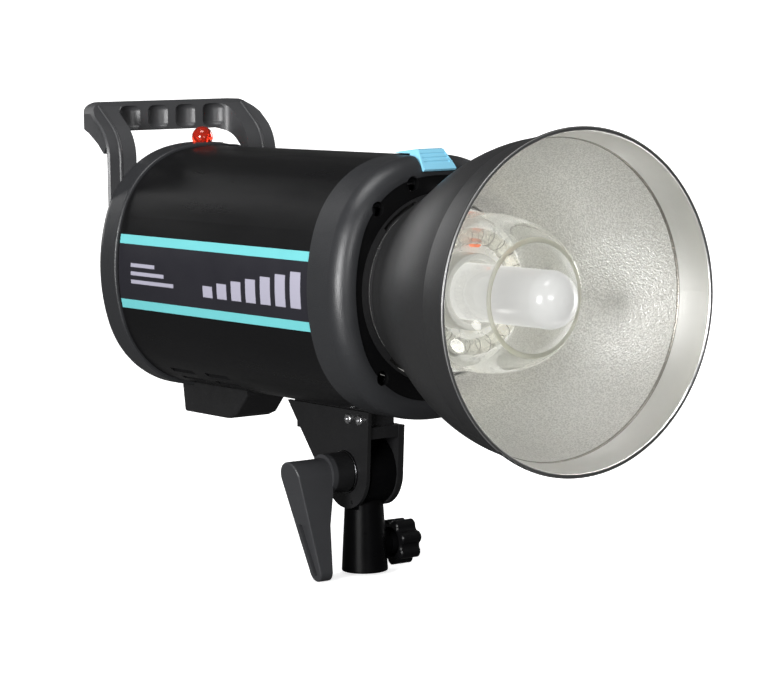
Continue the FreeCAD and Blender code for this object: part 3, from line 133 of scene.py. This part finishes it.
# camera
CAMERA_PLACE = Vector((1.3241, -0.9457, 0.3044))
CAMERA_AIM = Vector((0.040, -0.011, 0.1306))
CAMERA_ROLL = math.radians(-0.767)
CAMERA_SIDE = math.radians(36.05)  # how far round the camera stands from the lamp axis
LENS = 136.3
SENSOR = 36.0


# ---- node helpers -------------------------------------------------------------------------
class Shader:
    """A material with a Principled shader and short calls for the nodes that feed it."""

    def __init__(self, name, color, rough=0.5, metal=0.0, **sockets):
        self.mat = bpy.data.materials.new(name)
        self.mat.use_nodes = True
        self.tree = self.mat.node_tree
        self.tree.nodes.clear()
        self.out = self.add("ShaderNodeOutputMaterial")
        self.bsdf = self.add("ShaderNodeBsdfPrincipled")
        self.link(self.bsdf.outputs[0], self.out.inputs["Surface"])
        self.set("Base Color", (*color, 1.0))
        self.set("Roughness", rough)
        self.set("Metallic", metal)
        for key, value in sockets.items():
            self.set(key.replace("_", " "), value)
        self.place = self.add("ShaderNodeTexCoord").outputs["Object"]

    def add(self, kind, **props):
        node = self.tree.nodes.new(kind)
        for key, value in props.items():
            setattr(node, key, value)
        return node

    def link(self, a, b):
        self.tree.links.new(a, b)

    def set(self, socket, value):
        target = self.bsdf.inputs[socket]
        if hasattr(value, "is_output"):
            self.link(value, target)
        else:
            target.default_value = value

    def feed(self, node, index, value):
        if hasattr(value, "is_output"):
            self.link(value, node.inputs[index])
        elif value is not None:
            node.inputs[index].default_value = value

    def math(self, op, a, b=None):
        node = self.add("ShaderNodeMath", operation=op)
        for index, value in enumerate((a, b)):
            self.feed(node, index, value)
        return node.outputs[0]

    def axes(self):
        """The object frame's x, y and z."""
        node = self.add("ShaderNodeSeparateXYZ")
        self.link(self.place, node.inputs[0])
        return node.outputs

    def noise(self, size, detail=3.0, rough=0.5, stretch=(1, 1, 1)):
        """Noise whose features are about size metres across, from 0 to 1."""
        mapping = self.add("ShaderNodeMapping")
        mapping.inputs["Scale"].default_value = [s / size for s in stretch]
        self.link(self.place, mapping.inputs["Vector"])
        node = self.add("ShaderNodeTexNoise")
        node.inputs["Scale"].default_value = 1.0
        node.inputs["Detail"].default_value = detail
        node.inputs["Roughness"].default_value = rough
        self.link(mapping.outputs[0], node.inputs["Vector"])
        return node.outputs["Fac"]

    def cells(self, size):
        """Rounded cells about size metres across."""
        node = self.add("ShaderNodeTexVoronoi", feature="SMOOTH_F1")
        node.inputs["Scale"].default_value = 1.0 / size
        self.link(self.place, node.inputs["Vector"])
        return node.outputs["Distance"]

    def ramp(self, value, low, high, out_low=0.0, out_high=1.0):
        """A smooth step from out_low at low to out_high at high."""
        node = self.add("ShaderNodeMapRange", interpolation_type="SMOOTHSTEP")
        for index, number in enumerate((value, low, high, out_low, out_high)):
            self.feed(node, index, number)
        return node.outputs[0]

    def band(self, value, low, high, soft):
        """1 between low and high, 0 outside, with soft edges."""
        up = self.ramp(value, low - soft, low + soft)
        down = self.ramp(value, high - soft, high + soft, 1.0, 0.0)
        return self.math("MULTIPLY", up, down)

    def mix(self, factor, a, b):
        node = self.add("ShaderNodeMix", data_type="RGBA")
        self.feed(node, 0, factor)
        for index, color in ((6, a), (7, b)):
            self.feed(node, index, color if hasattr(color, "is_output") else (*color, 1.0))
        return node.outputs[2]

    def mix_value(self, factor, a, b):
        node = self.add("ShaderNodeMix", data_type="FLOAT")
        for index, value in ((0, factor), (2, a), (3, b)):
            self.feed(node, index, value)
        return node.outputs[0]

    def bump(self, height, distance, after=None):
        node = self.add("ShaderNodeBump")
        node.inputs["Strength"].default_value = 1.0
        node.inputs["Distance"].default_value = distance
        self.link(height, node.inputs["Height"])
        if after is not None:
            self.link(after, node.inputs["Normal"])
        return node.outputs[0]

    def wear(self):
        """1 on sharp outer edges, broken up by noise."""
        pointy = self.add("ShaderNodeNewGeometry").outputs["Pointiness"]
        edge = self.ramp(pointy, 0.62, 0.78)
        broken = self.ramp(self.noise(0.004), 0.35, 0.7)
        return self.math("MULTIPLY", edge, broken)

    def radial(self):
        """Distance from the lamp axis, and how far the surface faces away from that axis."""
        shifted = self.add("ShaderNodeVectorMath", operation="SUBTRACT")
        self.link(self.place, shifted.inputs[0])
        shifted.inputs[1].default_value = LAMP
        flat = self.add("ShaderNodeVectorMath", operation="MULTIPLY")
        self.link(shifted.outputs[0], flat.inputs[0])
        flat.inputs[1].default_value = (0, 1, 1)
        length = self.add("ShaderNodeVectorMath", operation="LENGTH")
        self.link(flat.outputs[0], length.inputs[0])
        normal = self.add("ShaderNodeNewGeometry").outputs["Normal"]
        dot = self.add("ShaderNodeVectorMath", operation="DOT_PRODUCT")
        self.link(flat.outputs[0], dot.inputs[0])
        self.link(normal, dot.inputs[1])
        return length.outputs["Value"], dot.outputs["Value"]


def moulded(name, color, rough, grain=0.0008, depth=0.00006, variation=0.25, rub=0.35, **sockets):
    """Moulded plastic: fine spark texture, uneven gloss, a little dust, edges rubbed paler."""
    s = Shader(name, color, rough, **sockets)
    light = tuple(min(1.0, c * (1 + variation) + 0.0005) for c in color)
    rubbed = tuple(min(1.0, c * 1.7 + 0.012) for c in color)
    base = s.mix(s.noise(0.03, 4.0), color, light)
    specks = s.ramp(s.noise(0.0011, 2.0), 0.72, 0.8)
    base = s.mix(s.math("MULTIPLY", specks, 0.25), base, rubbed)
    s.set("Base Color", s.mix(s.math("MULTIPLY", s.wear(), rub), base, rubbed))
    s.set("Roughness", s.ramp(s.noise(0.012, 5.0), 0.2, 0.8, rough - 0.05, rough + 0.06))
    s.set("Normal", s.bump(s.noise(grain, 2.0), depth))
    return s


def metal(name, color, rough, brushed=(1, 1, 1)):
    """Bare or plated metal: fine brushing along one axis and faint smudges."""
    s = Shader(name, color, rough, 1.0)
    dark = tuple(c * 0.82 for c in color)
    s.set("Base Color", s.mix(s.ramp(s.noise(0.01, 5.0), 0.35, 0.7), dark, color))
    s.set("Roughness", s.ramp(s.noise(0.006, 5.0, 0.6), 0.25, 0.75, rough * 0.75, rough * 1.35))
    s.set("Normal", s.bump(s.noise(0.0006, 2.0, stretch=brushed), 0.00003))
    return s


def painted(name, color, rough, grain=0.0006, depth=0.00008, chip=(0.12, 0.12, 0.125), **sockets):
    """Powder-coated metal: orange-peel grain with the paint rubbed thin on sharp edges."""
    s = Shader(name, color, rough, **sockets)
    light = tuple(c * 1.3 + 0.0005 for c in color)
    base = s.mix(s.noise(0.02, 4.0), color, light)
    s.set("Base Color", s.mix(s.math("MULTIPLY", s.wear(), 0.5), base, chip))
    s.set("Roughness", s.ramp(s.noise(0.008, 5.0), 0.2, 0.8, rough - 0.05, rough + 0.07))
    s.set("Normal", s.bump(s.noise(grain, 3.0), depth))
    return s


def clear_glass(name, tint, rim=None, plain=0.86, edge=0.3):
    """Thin clear glass: plain face on, shining at its edges, with a ground end at x = rim."""
    s = Shader(name, tint, 0.0, Transmission_Weight=1.0, IOR=1.47)
    s.set("Normal", s.bump(s.noise(0.03, 1.0), 0.0002))
    clear = s.add("ShaderNodeBsdfTransparent")
    clear.inputs[0].default_value = (*tint, 1.0)
    path = s.add("ShaderNodeLightPath")
    light = s.math("MAXIMUM", path.outputs["Is Shadow Ray"], path.outputs["Is Diffuse Ray"])
    facing = s.add("ShaderNodeLayerWeight").outputs["Facing"]
    seen = s.ramp(facing, 0.3, 0.9, plain, edge)
    if rim is not None:
        end = s.ramp(s.axes()[0], rim - 0.0005, rim - 0.0003)
        seen = s.mix_value(end, seen, 0.12)
        s.set("Base Color", s.mix(end, tint, (0.62, 0.62, 0.5)))
        s.set("Roughness", s.mix_value(end, 0.0, 0.35))
    share = s.math("MAXIMUM", s.math("MULTIPLY", light, 0.9), seen)
    both = s.add("ShaderNodeMixShader")
    s.link(share, both.inputs[0])
    s.link(s.bsdf.outputs[0], both.inputs[1])
    s.link(clear.outputs[0], both.inputs[2])
    s.link(both.outputs[0], s.out.inputs["Surface"])
    return s


# ---- materials of this object -----------------------------------------------------------------
def shell_paint():
    """Satin black tube: fine powder grain and faint wipe marks along it."""
    s = Shader("shell_paint", (0.005, 0.005, 0.0054), 0.3, Specular_IOR_Level=0.12)
    s.set("Base Color", s.mix(s.noise(0.05, 4.0), (0.0042, 0.0042, 0.0045),
                              (0.0062, 0.0062, 0.0066)))
    wipes = s.noise(0.012, 4.0, stretch=(0.15, 1, 1))
    s.set("Roughness", s.ramp(wipes, 0.3, 0.7, 0.27, 0.36))
    s.set("Normal", s.bump(s.noise(0.0009, 3.0), 0.00005))
    return s


def hood_plastic(name, color=(0.019, 0.0196, 0.0212)):
    """Grey moulded plastic of the hood, the bezel and the handle."""
    return moulded(name, color, 0.36, grain=0.0007, depth=0.00009, variation=0.16,
                   Specular_IOR_Level=0.42)


def side_print():
    """Dark band with a cyan line above and below it, and a plain row of level bars."""
    s = Shader("side_print", (0.02, 0.02, 0.026), 0.38, Specular_IOR_Level=0.25)
    x, _, z = s.axes()
    up = s.math("ABSOLUTE", s.math("SUBTRACT", z, LAMP.z))
    lines = s.band(up, *STRIPE, 0.00015)
    band = s.mix(s.noise(0.05, 3.0), (0.013, 0.0128, 0.0165), (0.018, 0.0175, 0.0225))
    color = s.mix(lines, band, s.mix(s.noise(0.02, 4.0), (0.125, 0.45, 0.47), (0.145, 0.5, 0.52)))
    s.set("Base Color", s.mix(level_bars(s, x, z), color, (0.33, 0.32, 0.39)))
    s.set("Roughness", s.ramp(s.noise(0.012, 4.0), 0.3, 0.7, 0.32, 0.42))
    grain = s.math("MULTIPLY", s.noise(0.0009, 3.0), 0.5)
    s.set("Normal", s.bump(s.math("ADD", lines, grain), 0.00006))
    return s


def level_bars(s, x, z):
    """Generic graphic: a row of bars that grow to the front, and three short rules at the rear."""
    mask = None
    for k in range(BAR_COUNT):
        left = LAMP.x + BAR_START + k * BAR_PITCH
        low = LAMP.z + BAR_FOOT
        half = BAR_HALF + BAR_GROWTH * k
        bar = s.math("MULTIPLY", s.band(x, left, left + BAR_WIDTH, PRINT_SOFT),
                     s.band(z, low, low + 2 * half, PRINT_SOFT))
        mask = bar if mask is None else s.math("MAXIMUM", mask, bar)
    for k in range(RULE_COUNT):
        low = LAMP.z + RULE_FOOT + RULE_PITCH * k
        right = LAMP.x + RULE_ENDS[1] - RULE_STEP * k
        rule = s.math("MULTIPLY", s.band(x, LAMP.x + RULE_ENDS[0], right, PRINT_SOFT),
                      s.band(z, low, low + RULE_HEIGHT, PRINT_SOFT))
        mask = s.math("MAXIMUM", mask, rule)
    return mask


def reflector_metal():
    """Satin black outside; hammered silver inside, then a dark groove, a plain spun band, a lip."""
    s = Shader("reflector_metal", (0.8, 0.79, 0.76), 0.3, Specular_IOR_Level=0.28)
    x = s.axes()[0]
    outward = s.radial()[1]
    outside = s.ramp(outward, -0.002, 0.002)
    lip = s.ramp(x, LAMP.x + LIP[0], LAMP.x + LIP[1])
    paint = s.math("MULTIPLY", outside, s.math("SUBTRACT", 1.0, lip))
    bare = s.math("SUBTRACT", 1.0, paint)
    plain = s.ramp(x, LAMP.x + BAND[0], LAMP.x + BAND[1])
    hammered = s.math("MULTIPLY", bare, s.math("SUBTRACT", 1.0, plain))
    groove = s.band(x, LAMP.x + GROOVE[0], LAMP.x + GROOVE[1], 0.0003)
    groove = s.math("MULTIPLY", groove, bare)
    grain = s.ramp(s.noise(0.0009, 1.5), 0.36, 0.64)
    silver = s.mix(s.noise(0.02, 4.0), (0.9, 0.895, 0.87), (0.98, 0.975, 0.955))
    shaded = s.math("MULTIPLY", hammered, s.math("MULTIPLY", grain, 0.5))
    silver = s.mix(shaded, silver, (0.5, 0.495, 0.47))
    silver = s.mix(groove, silver, (0.2, 0.19, 0.17))
    silver = s.mix(lip, silver, (0.3, 0.3, 0.3))
    black = s.mix(s.noise(0.03, 4.0), (0.016, 0.016, 0.0165), (0.021, 0.021, 0.0215))
    s.set("Base Color", s.mix(paint, silver, black))
    s.set("Metallic", bare)
    s.set("Roughness", s.mix_value(paint, s.mix_value(plain, 0.43, 0.33), 0.4))
    dents = s.math("ADD", s.cells(0.0009), s.math("MULTIPLY", s.noise(0.001, 2.0), 0.9))
    first = s.bump(s.math("MULTIPLY", dents, hammered), 0.00028)
    spun = s.math("SINE", s.math("MULTIPLY", x, SPUN_WAVES))
    spun = s.math("MULTIPLY", s.math("MULTIPLY", spun, plain), bare)
    second = s.bump(spun, 0.000006, after=first)
    s.set("Normal", s.bump(s.math("MULTIPLY", s.noise(0.0007), paint), 0.00008, after=second))
    return s


def lamp_silver():
    """Bright pressed sheet under the dome, slightly heat-stained round the lamp; its faint emission is a painted
    glow standing in for light bouncing round inside the dome.
    """
    s = Shader("lamp_silver", (0.95, 0.945, 0.92), 0.3, 0.45)
    # painted light: the sheet is no lamp, yet glows faintly so that the deep end of the reflector looks lit
    s.set("Emission Color", (1.0, 0.985, 0.94, 1.0))
    s.set("Emission Strength", 0.2)
    radius = s.radial()[0]
    stain = s.math("MULTIPLY", s.band(radius, 0.021, 0.027, 0.003),
                   s.ramp(s.noise(0.006, 4.0), 0.45, 0.75))
    sheet = s.mix(s.noise(0.012, 5.0), (0.95, 0.945, 0.92), (0.99, 0.985, 0.965))
    s.set("Base Color", s.mix(s.math("MULTIPLY", stain, 0.35), sheet, (0.72, 0.62, 0.42)))
    s.set("Roughness", s.ramp(s.noise(0.004, 4.0), 0.3, 0.7, 0.24, 0.38))
    s.set("Normal", s.bump(s.noise(0.003, 3.0), 0.00012))
    return s


def frosted():
    """Frosted lamp glass with a painted glow in place of the light that falls on it, brighter at its base than at
    its tip as painted shade.
    """
    s = Shader("frosted_bulb_painted_glow", (0.24, 0.242, 0.236), 0.24)
    s.set("Base Color", s.mix(s.noise(0.02, 3.0), (0.22, 0.222, 0.216), (0.26, 0.262, 0.256)))
    s.set("Roughness", s.ramp(s.noise(0.004, 4.0), 0.3, 0.7, 0.16, 0.24))
    # painted light: the emission stands for light falling on the glass, and it fades from base to tip as painted
    # shade
    along = s.ramp(s.axes()[0], LAMP.x + 0.06, LAMP.x + 0.13)
    s.set("Emission Color", s.mix(along, (1.0, 0.99, 0.96), (0.72, 0.72, 0.7)))
    s.set("Emission Strength", 0.6)
    s.set("Normal", s.bump(s.noise(0.0006), 0.00002))
    return s


def glowing(name, color, strength):
    """Tinted glass that glows unevenly."""
    s = Shader(name, color, 0.2, Transmission_Weight=0.3)
    dull = tuple(c * 0.4 for c in color)
    s.set("Emission Color", s.mix(s.ramp(s.cells(0.003), 0.2, 0.8), color, dull))
    s.set("Emission Strength", strength)
    s.set("Normal", s.bump(s.noise(0.002), 0.00004))
    return s


def red_clear():
    """Clear red moulding of the slave sensor."""
    s = Shader("slave_red", (0.75, 0.035, 0.015), 0.05, Transmission_Weight=0.75, IOR=1.45)
    s.set("Base Color", s.mix(s.noise(0.006, 3.0), (0.62, 0.025, 0.01), (0.85, 0.06, 0.025)))
    s.set("Normal", s.bump(s.noise(0.004), 0.00008))
    return s


def display_face():
    """Dark window with a faint grid of segments behind it."""
    s = Shader("display_dark", (0.004, 0.01, 0.014), 0.07)
    _, y, z = s.axes()
    rows = s.band(s.math("FRACT", s.math("MULTIPLY", z, DISPLAY_CELLS)), 0.12, 0.88, 0.03)
    columns = s.band(s.math("FRACT", s.math("MULTIPLY", y, DISPLAY_CELLS)), 0.12, 0.88, 0.03)
    grid = s.math("MULTIPLY", rows, columns)
    s.set("Base Color", s.mix(grid, (0.004, 0.008, 0.011), (0.008, 0.017, 0.022)))
    s.set("Roughness", s.ramp(s.noise(0.008, 4.0), 0.3, 0.7, 0.05, 0.12))
    return s


def panel_print():
    """Moulded black panel with pale tick marks round the dial and a rule under each button."""
    s = moulded("panel_black", (0.014, 0.014, 0.0155), 0.42)
    low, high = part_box("power_dial")
    middle = (low + high) / 2
    _, y, z = s.axes()
    dy = s.math("SUBTRACT", y, middle.y)
    dz = s.math("SUBTRACT", z, middle.z)
    away = s.math("SQRT", s.math("ADD", s.math("MULTIPLY", dy, dy), s.math("MULTIPLY", dz, dz)))
    turn = s.math("ARCTAN2", dy, dz)
    spokes = s.math("COSINE", s.math("MULTIPLY", turn, TICKS))
    mask = s.math("MULTIPLY", s.ramp(spokes, 0.86, 0.93), s.band(away, *TICK_RADII, PANEL_SOFT))
    mask = s.math("MULTIPLY", mask, s.ramp(s.math("ABSOLUTE", turn), *DIAL_SWEEP, 1.0, 0.0))
    for name in BUTTONS:
        low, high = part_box(name)
        centre = (low + high) / 2
        rule = s.math("MULTIPLY",
                      s.band(y, centre.y - RULE_HALF, centre.y + RULE_HALF, PANEL_SOFT),
                      s.band(z, centre.z - RULE_DROP[0], centre.z - RULE_DROP[1], PANEL_SOFT))
        mask = s.math("MAXIMUM", mask, rule)
    base = s.bsdf.inputs["Base Color"].links[0].from_socket
    s.set("Base Color", s.mix(mask, base, (0.55, 0.56, 0.57)))
    return s


def lever_plastic():
    """Grey moulded arm with its round hub left black."""
    s = moulded("lever_grey", (0.026, 0.0265, 0.0285), 0.36, Specular_IOR_Level=0.42)
    base = s.bsdf.inputs["Base Color"].links[0].from_socket
    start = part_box("tilt_lever")[0].y + HUB_START
    hub = s.ramp(s.axes()[1], start, start + HUB_SOFT)
    s.set("Base Color", s.mix(hub, base, (0.007, 0.007, 0.0075)))
    return s


def circuit(name, color):
    """Circuit board with paler tracks in patches."""
    s = Shader(name, color, 0.35)
    tracks = s.ramp(s.math("SINE", s.math("MULTIPLY", s.axes()[0], TRACK_WAVES)), 0.6, 0.8)
    patches = s.math("MULTIPLY", tracks, s.ramp(s.noise(0.01), 0.5, 0.55))
    s.set("Base Color", s.mix(patches, color, (0.2, 0.5, 0.25)))
    return s


BLACK = (0.012, 0.012, 0.013)
MATERIALS = {
    "shell_black": shell_paint(),
    "label_film": side_print(),
    "hood_grey": hood_plastic("hood_grey"),
    "bezel_grey": hood_plastic("bezel_grey"),
    "face_black": moulded("face_black", (0.003, 0.003, 0.0032), 0.42, rub=0.0,
                          Specular_IOR_Level=0.1),
    "ring_black": painted("ring_black", (0.014, 0.014, 0.0145), 0.38),
    "steel": metal("steel", (0.72, 0.72, 0.73), 0.24, (1, 12, 1)),
    "reflector_metal": reflector_metal(),
    "latch_blue": moulded("latch_blue", (0.2, 0.49, 0.65), 0.3, 0.0006, 0.00003, 0.1, 0.2),
    "lamp_silver": lamp_silver(),
    "neon_orange": glowing("neon_orange", (0.9, 0.3, 0.1), 0.5),
    "tube_glass": clear_glass("tube_glass", (0.96, 0.955, 0.92), plain=0.7, edge=0.0),
    "dome_glass": clear_glass("dome_glass", (0.985, 0.99, 0.98), rim=DOME_END),
    "frosted_glass": frosted(),
    "porcelain": moulded("porcelain", (0.88, 0.87, 0.83), 0.2, depth=0.00001, variation=0.05),
    "nickel": metal("nickel", (0.72, 0.7, 0.66), 0.25, (1, 1, 10)),
    "eyelet": metal("eyelet", (0.1, 0.09, 0.075), 0.3),
    "dark_wire": metal("dark_wire", (0.3, 0.28, 0.24), 0.3),
    "slave_red": red_clear(),
    "foot_black": moulded("foot_black", (0.008, 0.008, 0.0084), 0.5, depth=0.00012,
                          Specular_IOR_Level=0.3),
    "panel_black": panel_print(),
    "display_dark": display_face(),
    "button_grey": moulded("button_grey", (0.3, 0.31, 0.32), 0.6),
    "dial_grey": moulded("dial_grey", (0.03, 0.03, 0.032), 0.45),
    "switch_black": moulded("switch_black", (0.008, 0.008, 0.008), 0.2),
    "socket_black": moulded("socket_black", BLACK, 0.5),
    "brass": metal("brass", (0.75, 0.56, 0.25), 0.25, (8, 1, 1)),
    "board_green": circuit("board_green", (0.02, 0.16, 0.07)),
    "cell_sleeve": moulded("cell_sleeve", (0.02, 0.03, 0.12), 0.3),
    "deck_alu": metal("deck_alu", (0.7, 0.7, 0.7), 0.3, (12, 1, 1)),
    "fan_black": moulded("fan_black", BLACK, 0.45),
    "bracket_black": painted("bracket_black", (0.008, 0.008, 0.0084), 0.4,
                             Specular_IOR_Level=0.28),
    "casting_black": painted("casting_black", (0.008, 0.008, 0.0085), 0.42, 0.001, 0.00015,
                             Specular_IOR_Level=0.3),
    "chrome": metal("chrome", (0.09, 0.09, 0.095), 0.22),
    "fibre": moulded("fibre", (0.2, 0.17, 0.14), 0.7),
    "lever_grey": lever_plastic(),
    "adapter_black": painted("adapter_black", (0.0014, 0.0014, 0.0016), 0.3, 0.0005, 0.00003,
                             (0.02, 0.02, 0.02), Specular_IOR_Level=0.05),
    "knob_black": moulded("knob_black", (0.0025, 0.0025, 0.0028), 0.3, rub=0.08,
                          Specular_IOR_Level=0.16),
}


def dress_nodes():
    """Each CAD node takes the material of its slot, or a finish of its own where it has one: the carry handle has
    a lighter copy of the hood's grey plastic, painted light for its brighter top.
    """
    # painted light: the handle is the same grey plastic as the hood and bezel, made lighter to stand in for the
    # light on its top
    painted_light_finishes = {"carry_handle": hood_plastic("handle_grey_painted_light", (0.042, 0.0425, 0.0445))}
    for row in RECORD["subparts"]:
        mesh = NODES[row["node"]].data
        finish = painted_light_finishes.get(row["node"], MATERIALS[row["material_slot"]])
        mesh.materials.clear()
        mesh.materials.append(finish.mat)


# ---- small pieces inside the lamp ---------------------------------------------------------------
def trigger_wire():
    """Fine wire wound round the ring tube from one leg to the other."""
    low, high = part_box("flash_tube")
    thick = TUBE_THICK / 2 + WIRE / 2
    x = high.x - TUBE_THICK / 2
    ring = (high.y - low.y - TUBE_THICK) / 2
    steps = WIRE_TURNS * WIRE_STEPS
    curve = bpy.data.curves.new("trigger_wire", "CURVE")
    curve.dimensions = "3D"
    curve.bevel_depth = WIRE / 2
    curve.bevel_resolution = 2
    line = curve.splines.new("NURBS")
    line.points.add(steps)
    for k in range(steps + 1):
        around = math.radians(WIRE_FROM + (WIRE_TO - WIRE_FROM) * k / steps)
        wind = 2 * math.pi * k / WIRE_STEPS
        r = ring + thick * math.cos(wind)
        y, z = LAMP.y + r * math.cos(around), LAMP.z + r * math.sin(around)
        line.points[k].co = (x + thick * math.sin(wind), y, z, 1.0)
    line.order_u = 4
    line.use_endpoint_u = True
    wire = bpy.data.objects.new("trigger_wire", curve)
    curve.materials.append(MATERIALS["dark_wire"].mat)
    finish_piece(wire)


def turned_ring(name, profile, y, z, finish, sides=32):
    """Ring turned about a line along X; the profile is a closed loop of (x, radius)."""
    points, faces = [], []
    for x, r in profile:
        for k in range(sides):
            a = 2 * math.pi * k / sides
            points.append((x, y + r * math.cos(a), z + r * math.sin(a)))
    rows = len(profile)
    for i in range(rows):
        for k in range(sides):
            n = (k + 1) % sides
            j = (i + 1) % rows
            faces.append((i * sides + k, i * sides + n, j * sides + n, j * sides + k))
    mesh = bpy.data.meshes.new(name)
    mesh.from_pydata(points, [], faces)
    for p in mesh.polygons:
        p.use_smooth = True
    mesh.materials.append(MATERIALS[finish].mat)
    piece = bpy.data.objects.new(name, mesh)
    finish_piece(piece)


def finish_piece(piece):
    """Link a modelled piece and let it tilt with the head."""
    bpy.context.scene.collection.objects.link(piece)
    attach(piece, "head")


def rolled_profile(x, inner, outer, height):
    """Loop of a rolled eyelet: rounded on its outer side, square where it sits."""
    middle, half = (inner + outer) / 2, (outer - inner) / 2
    loop = [(x, inner), (x, outer)]
    for k in range(9):
        t = math.pi * k / 8
        loop.append((x + height * (0.4 + 0.6 * math.sin(t)), middle + half * math.cos(t)))
    return loop


def pan_eyelets():
    """Rolled eyelets that line the two wire holes of the pan."""
    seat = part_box("lamp_pan")[0].x + PAN_SHEET
    for number, (degrees, radius) in enumerate(EYELETS, 1):
        a = math.radians(degrees)
        y, z = LAMP.y + radius * math.cos(a), LAMP.z + radius * math.sin(a)
        turned_ring("pan_eyelet_%d" % number, rolled_profile(seat, *EYELET), y, z,
                    "eyelet")


# ---- floor, light and camera -------------------------------------------------------------------
def floor_paper():
    """White paper, evenly lit; it throws back little light onto the object's underside."""
    s = Shader("floor_paper", (0.93, 0.93, 0.93), 0.9)
    s.set("Base Color", s.mix(s.noise(0.4, 3.0), (0.92, 0.92, 0.92), (0.94, 0.94, 0.94)))
    s.set("Emission Color", (1, 1, 1, 1))
    s.set("Emission Strength", FLOOR_LIFT)
    seen = s.add("ShaderNodeLightPath").outputs["Is Camera Ray"]
    dim = s.add("ShaderNodeBsdfDiffuse")
    dim.inputs["Color"].default_value = (FLOOR_BOUNCE, FLOOR_BOUNCE, FLOOR_BOUNCE, 1)
    both = s.add("ShaderNodeMixShader")
    s.link(seen, both.inputs[0])
    s.link(dim.outputs[0], both.inputs[1])
    s.link(s.bsdf.outputs[0], both.inputs[2])
    s.link(both.outputs[0], s.out.inputs["Surface"])
    return s.mat


def sweep_floor():
    """Pale floor that curves up into a wall behind the object."""
    low = CAD_BOX[0].z - FLOOR_GAP
    near, far, radius, high, half, steps = -5.0, 2.2, 0.8, 3.2, 5.0, 16
    profile = [(near, 0.0), (far - radius, 0.0)]
    for k in range(1, steps + 1):
        a = math.pi / 2 * k / steps
        profile.append((far - radius + radius * math.sin(a), radius - radius * math.cos(a)))
    profile.append((far, high))
    back = Vector((-math.cos(CAMERA_SIDE), math.sin(CAMERA_SIDE), 0))
    side = Vector((back.y, -back.x, 0))
    points, faces = [], []
    for d, h in profile:
        for s in (-half, half):
            p = back * d + side * s
            points.append((p.x, p.y, low + h))
    for k in range(len(profile) - 1):
        faces.append((2 * k, 2 * k + 1, 2 * k + 3, 2 * k + 2))
    mesh = bpy.data.meshes.new("floor")
    mesh.from_pydata(points, [], faces)
    for p in mesh.polygons:
        p.use_smooth = True
    floor = bpy.data.objects.new("floor", mesh)
    bpy.context.scene.collection.objects.link(floor)
    mesh.materials.append(floor_paper())


def soft_box(name, place, aim, wide, high, power):
    """White rectangular light at place, turned to aim."""
    light = bpy.data.lights.new(name, "AREA")
    light.shape = "RECTANGLE"
    light.size = wide
    light.size_y = high
    light.energy = power
    lamp = bpy.data.objects.new(name, light)
    lamp.location = place
    lamp.rotation_euler = (Vector(aim) - Vector(place)).to_track_quat("-Z", "Y").to_euler()
    bpy.context.scene.collection.objects.link(lamp)


def light_room():
    """Soft boxes in a dim room; where nothing stands, the camera sees it near white."""
    world = bpy.data.worlds.new("room")
    world.use_nodes = True
    tree = world.node_tree
    room = tree.nodes["Background"]
    room.inputs[0].default_value = (1, 1, 1, 1)
    seen = tree.nodes.new("ShaderNodeLightPath")
    level = tree.nodes.new("ShaderNodeMapRange")
    level.inputs["To Min"].default_value = WORLD_LIGHT
    level.inputs["To Max"].default_value = WORLD_SEEN
    tree.links.new(seen.outputs["Is Camera Ray"], level.inputs["Value"])
    tree.links.new(level.outputs[0], room.inputs[1])
    bpy.context.scene.world = world
    middle = (CAD_BOX[0] + CAD_BOX[1]) / 2
    for name, place, wide, high, power in SOFT_BOXES:
        soft_box(name, place, middle, wide, high, power)
    lamp_glow()


def lamp_glow():
    """Faint glow in the dome that brightens the deep end of the reflector."""
    for number, (y, z) in enumerate(GLOW_SPOTS, 1):
        light = bpy.data.lights.new("glow_%d" % number, "POINT")
        light.energy = GLOW
        light.shadow_soft_size = GLOW_SIZE
        light.color = (1.0, 0.985, 0.95)
        lamp = bpy.data.objects.new("glow_%d" % number, light)
        lamp.location = (LAMP.x + GLOW_AHEAD, LAMP.y + y, LAMP.z + z)
        lamp.visible_camera = False
        bpy.context.scene.collection.objects.link(lamp)
        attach(lamp, "head")


def place_camera():
    """Three-quarter view from the front, slightly above, rolled a little."""
    data = bpy.data.cameras.new("camera")
    data.sensor_width = SENSOR
    data.lens = LENS
    data.clip_start = 0.05
    data.clip_end = 50.0
    cam = bpy.data.objects.new("camera", data)
    ahead = (CAMERA_AIM - CAMERA_PLACE).normalized()
    right = ahead.cross(Vector((0, 0, 1))).normalized()
    up = right.cross(ahead)
    rolled = right * math.cos(CAMERA_ROLL) + up * math.sin(CAMERA_ROLL)
    up = rolled.cross(ahead)
    turned = Matrix((rolled, up, -ahead)).transposed().to_4x4()
    cam.matrix_world = Matrix.Translation(CAMERA_PLACE) @ turned
    bpy.context.scene.collection.objects.link(cam)
    bpy.context.scene.camera = cam


dress_nodes()
trigger_wire()
pan_eyelets()
sweep_floor()
light_room()
place_camera()
bpy.context.scene.view_settings.view_transform = "Standard"
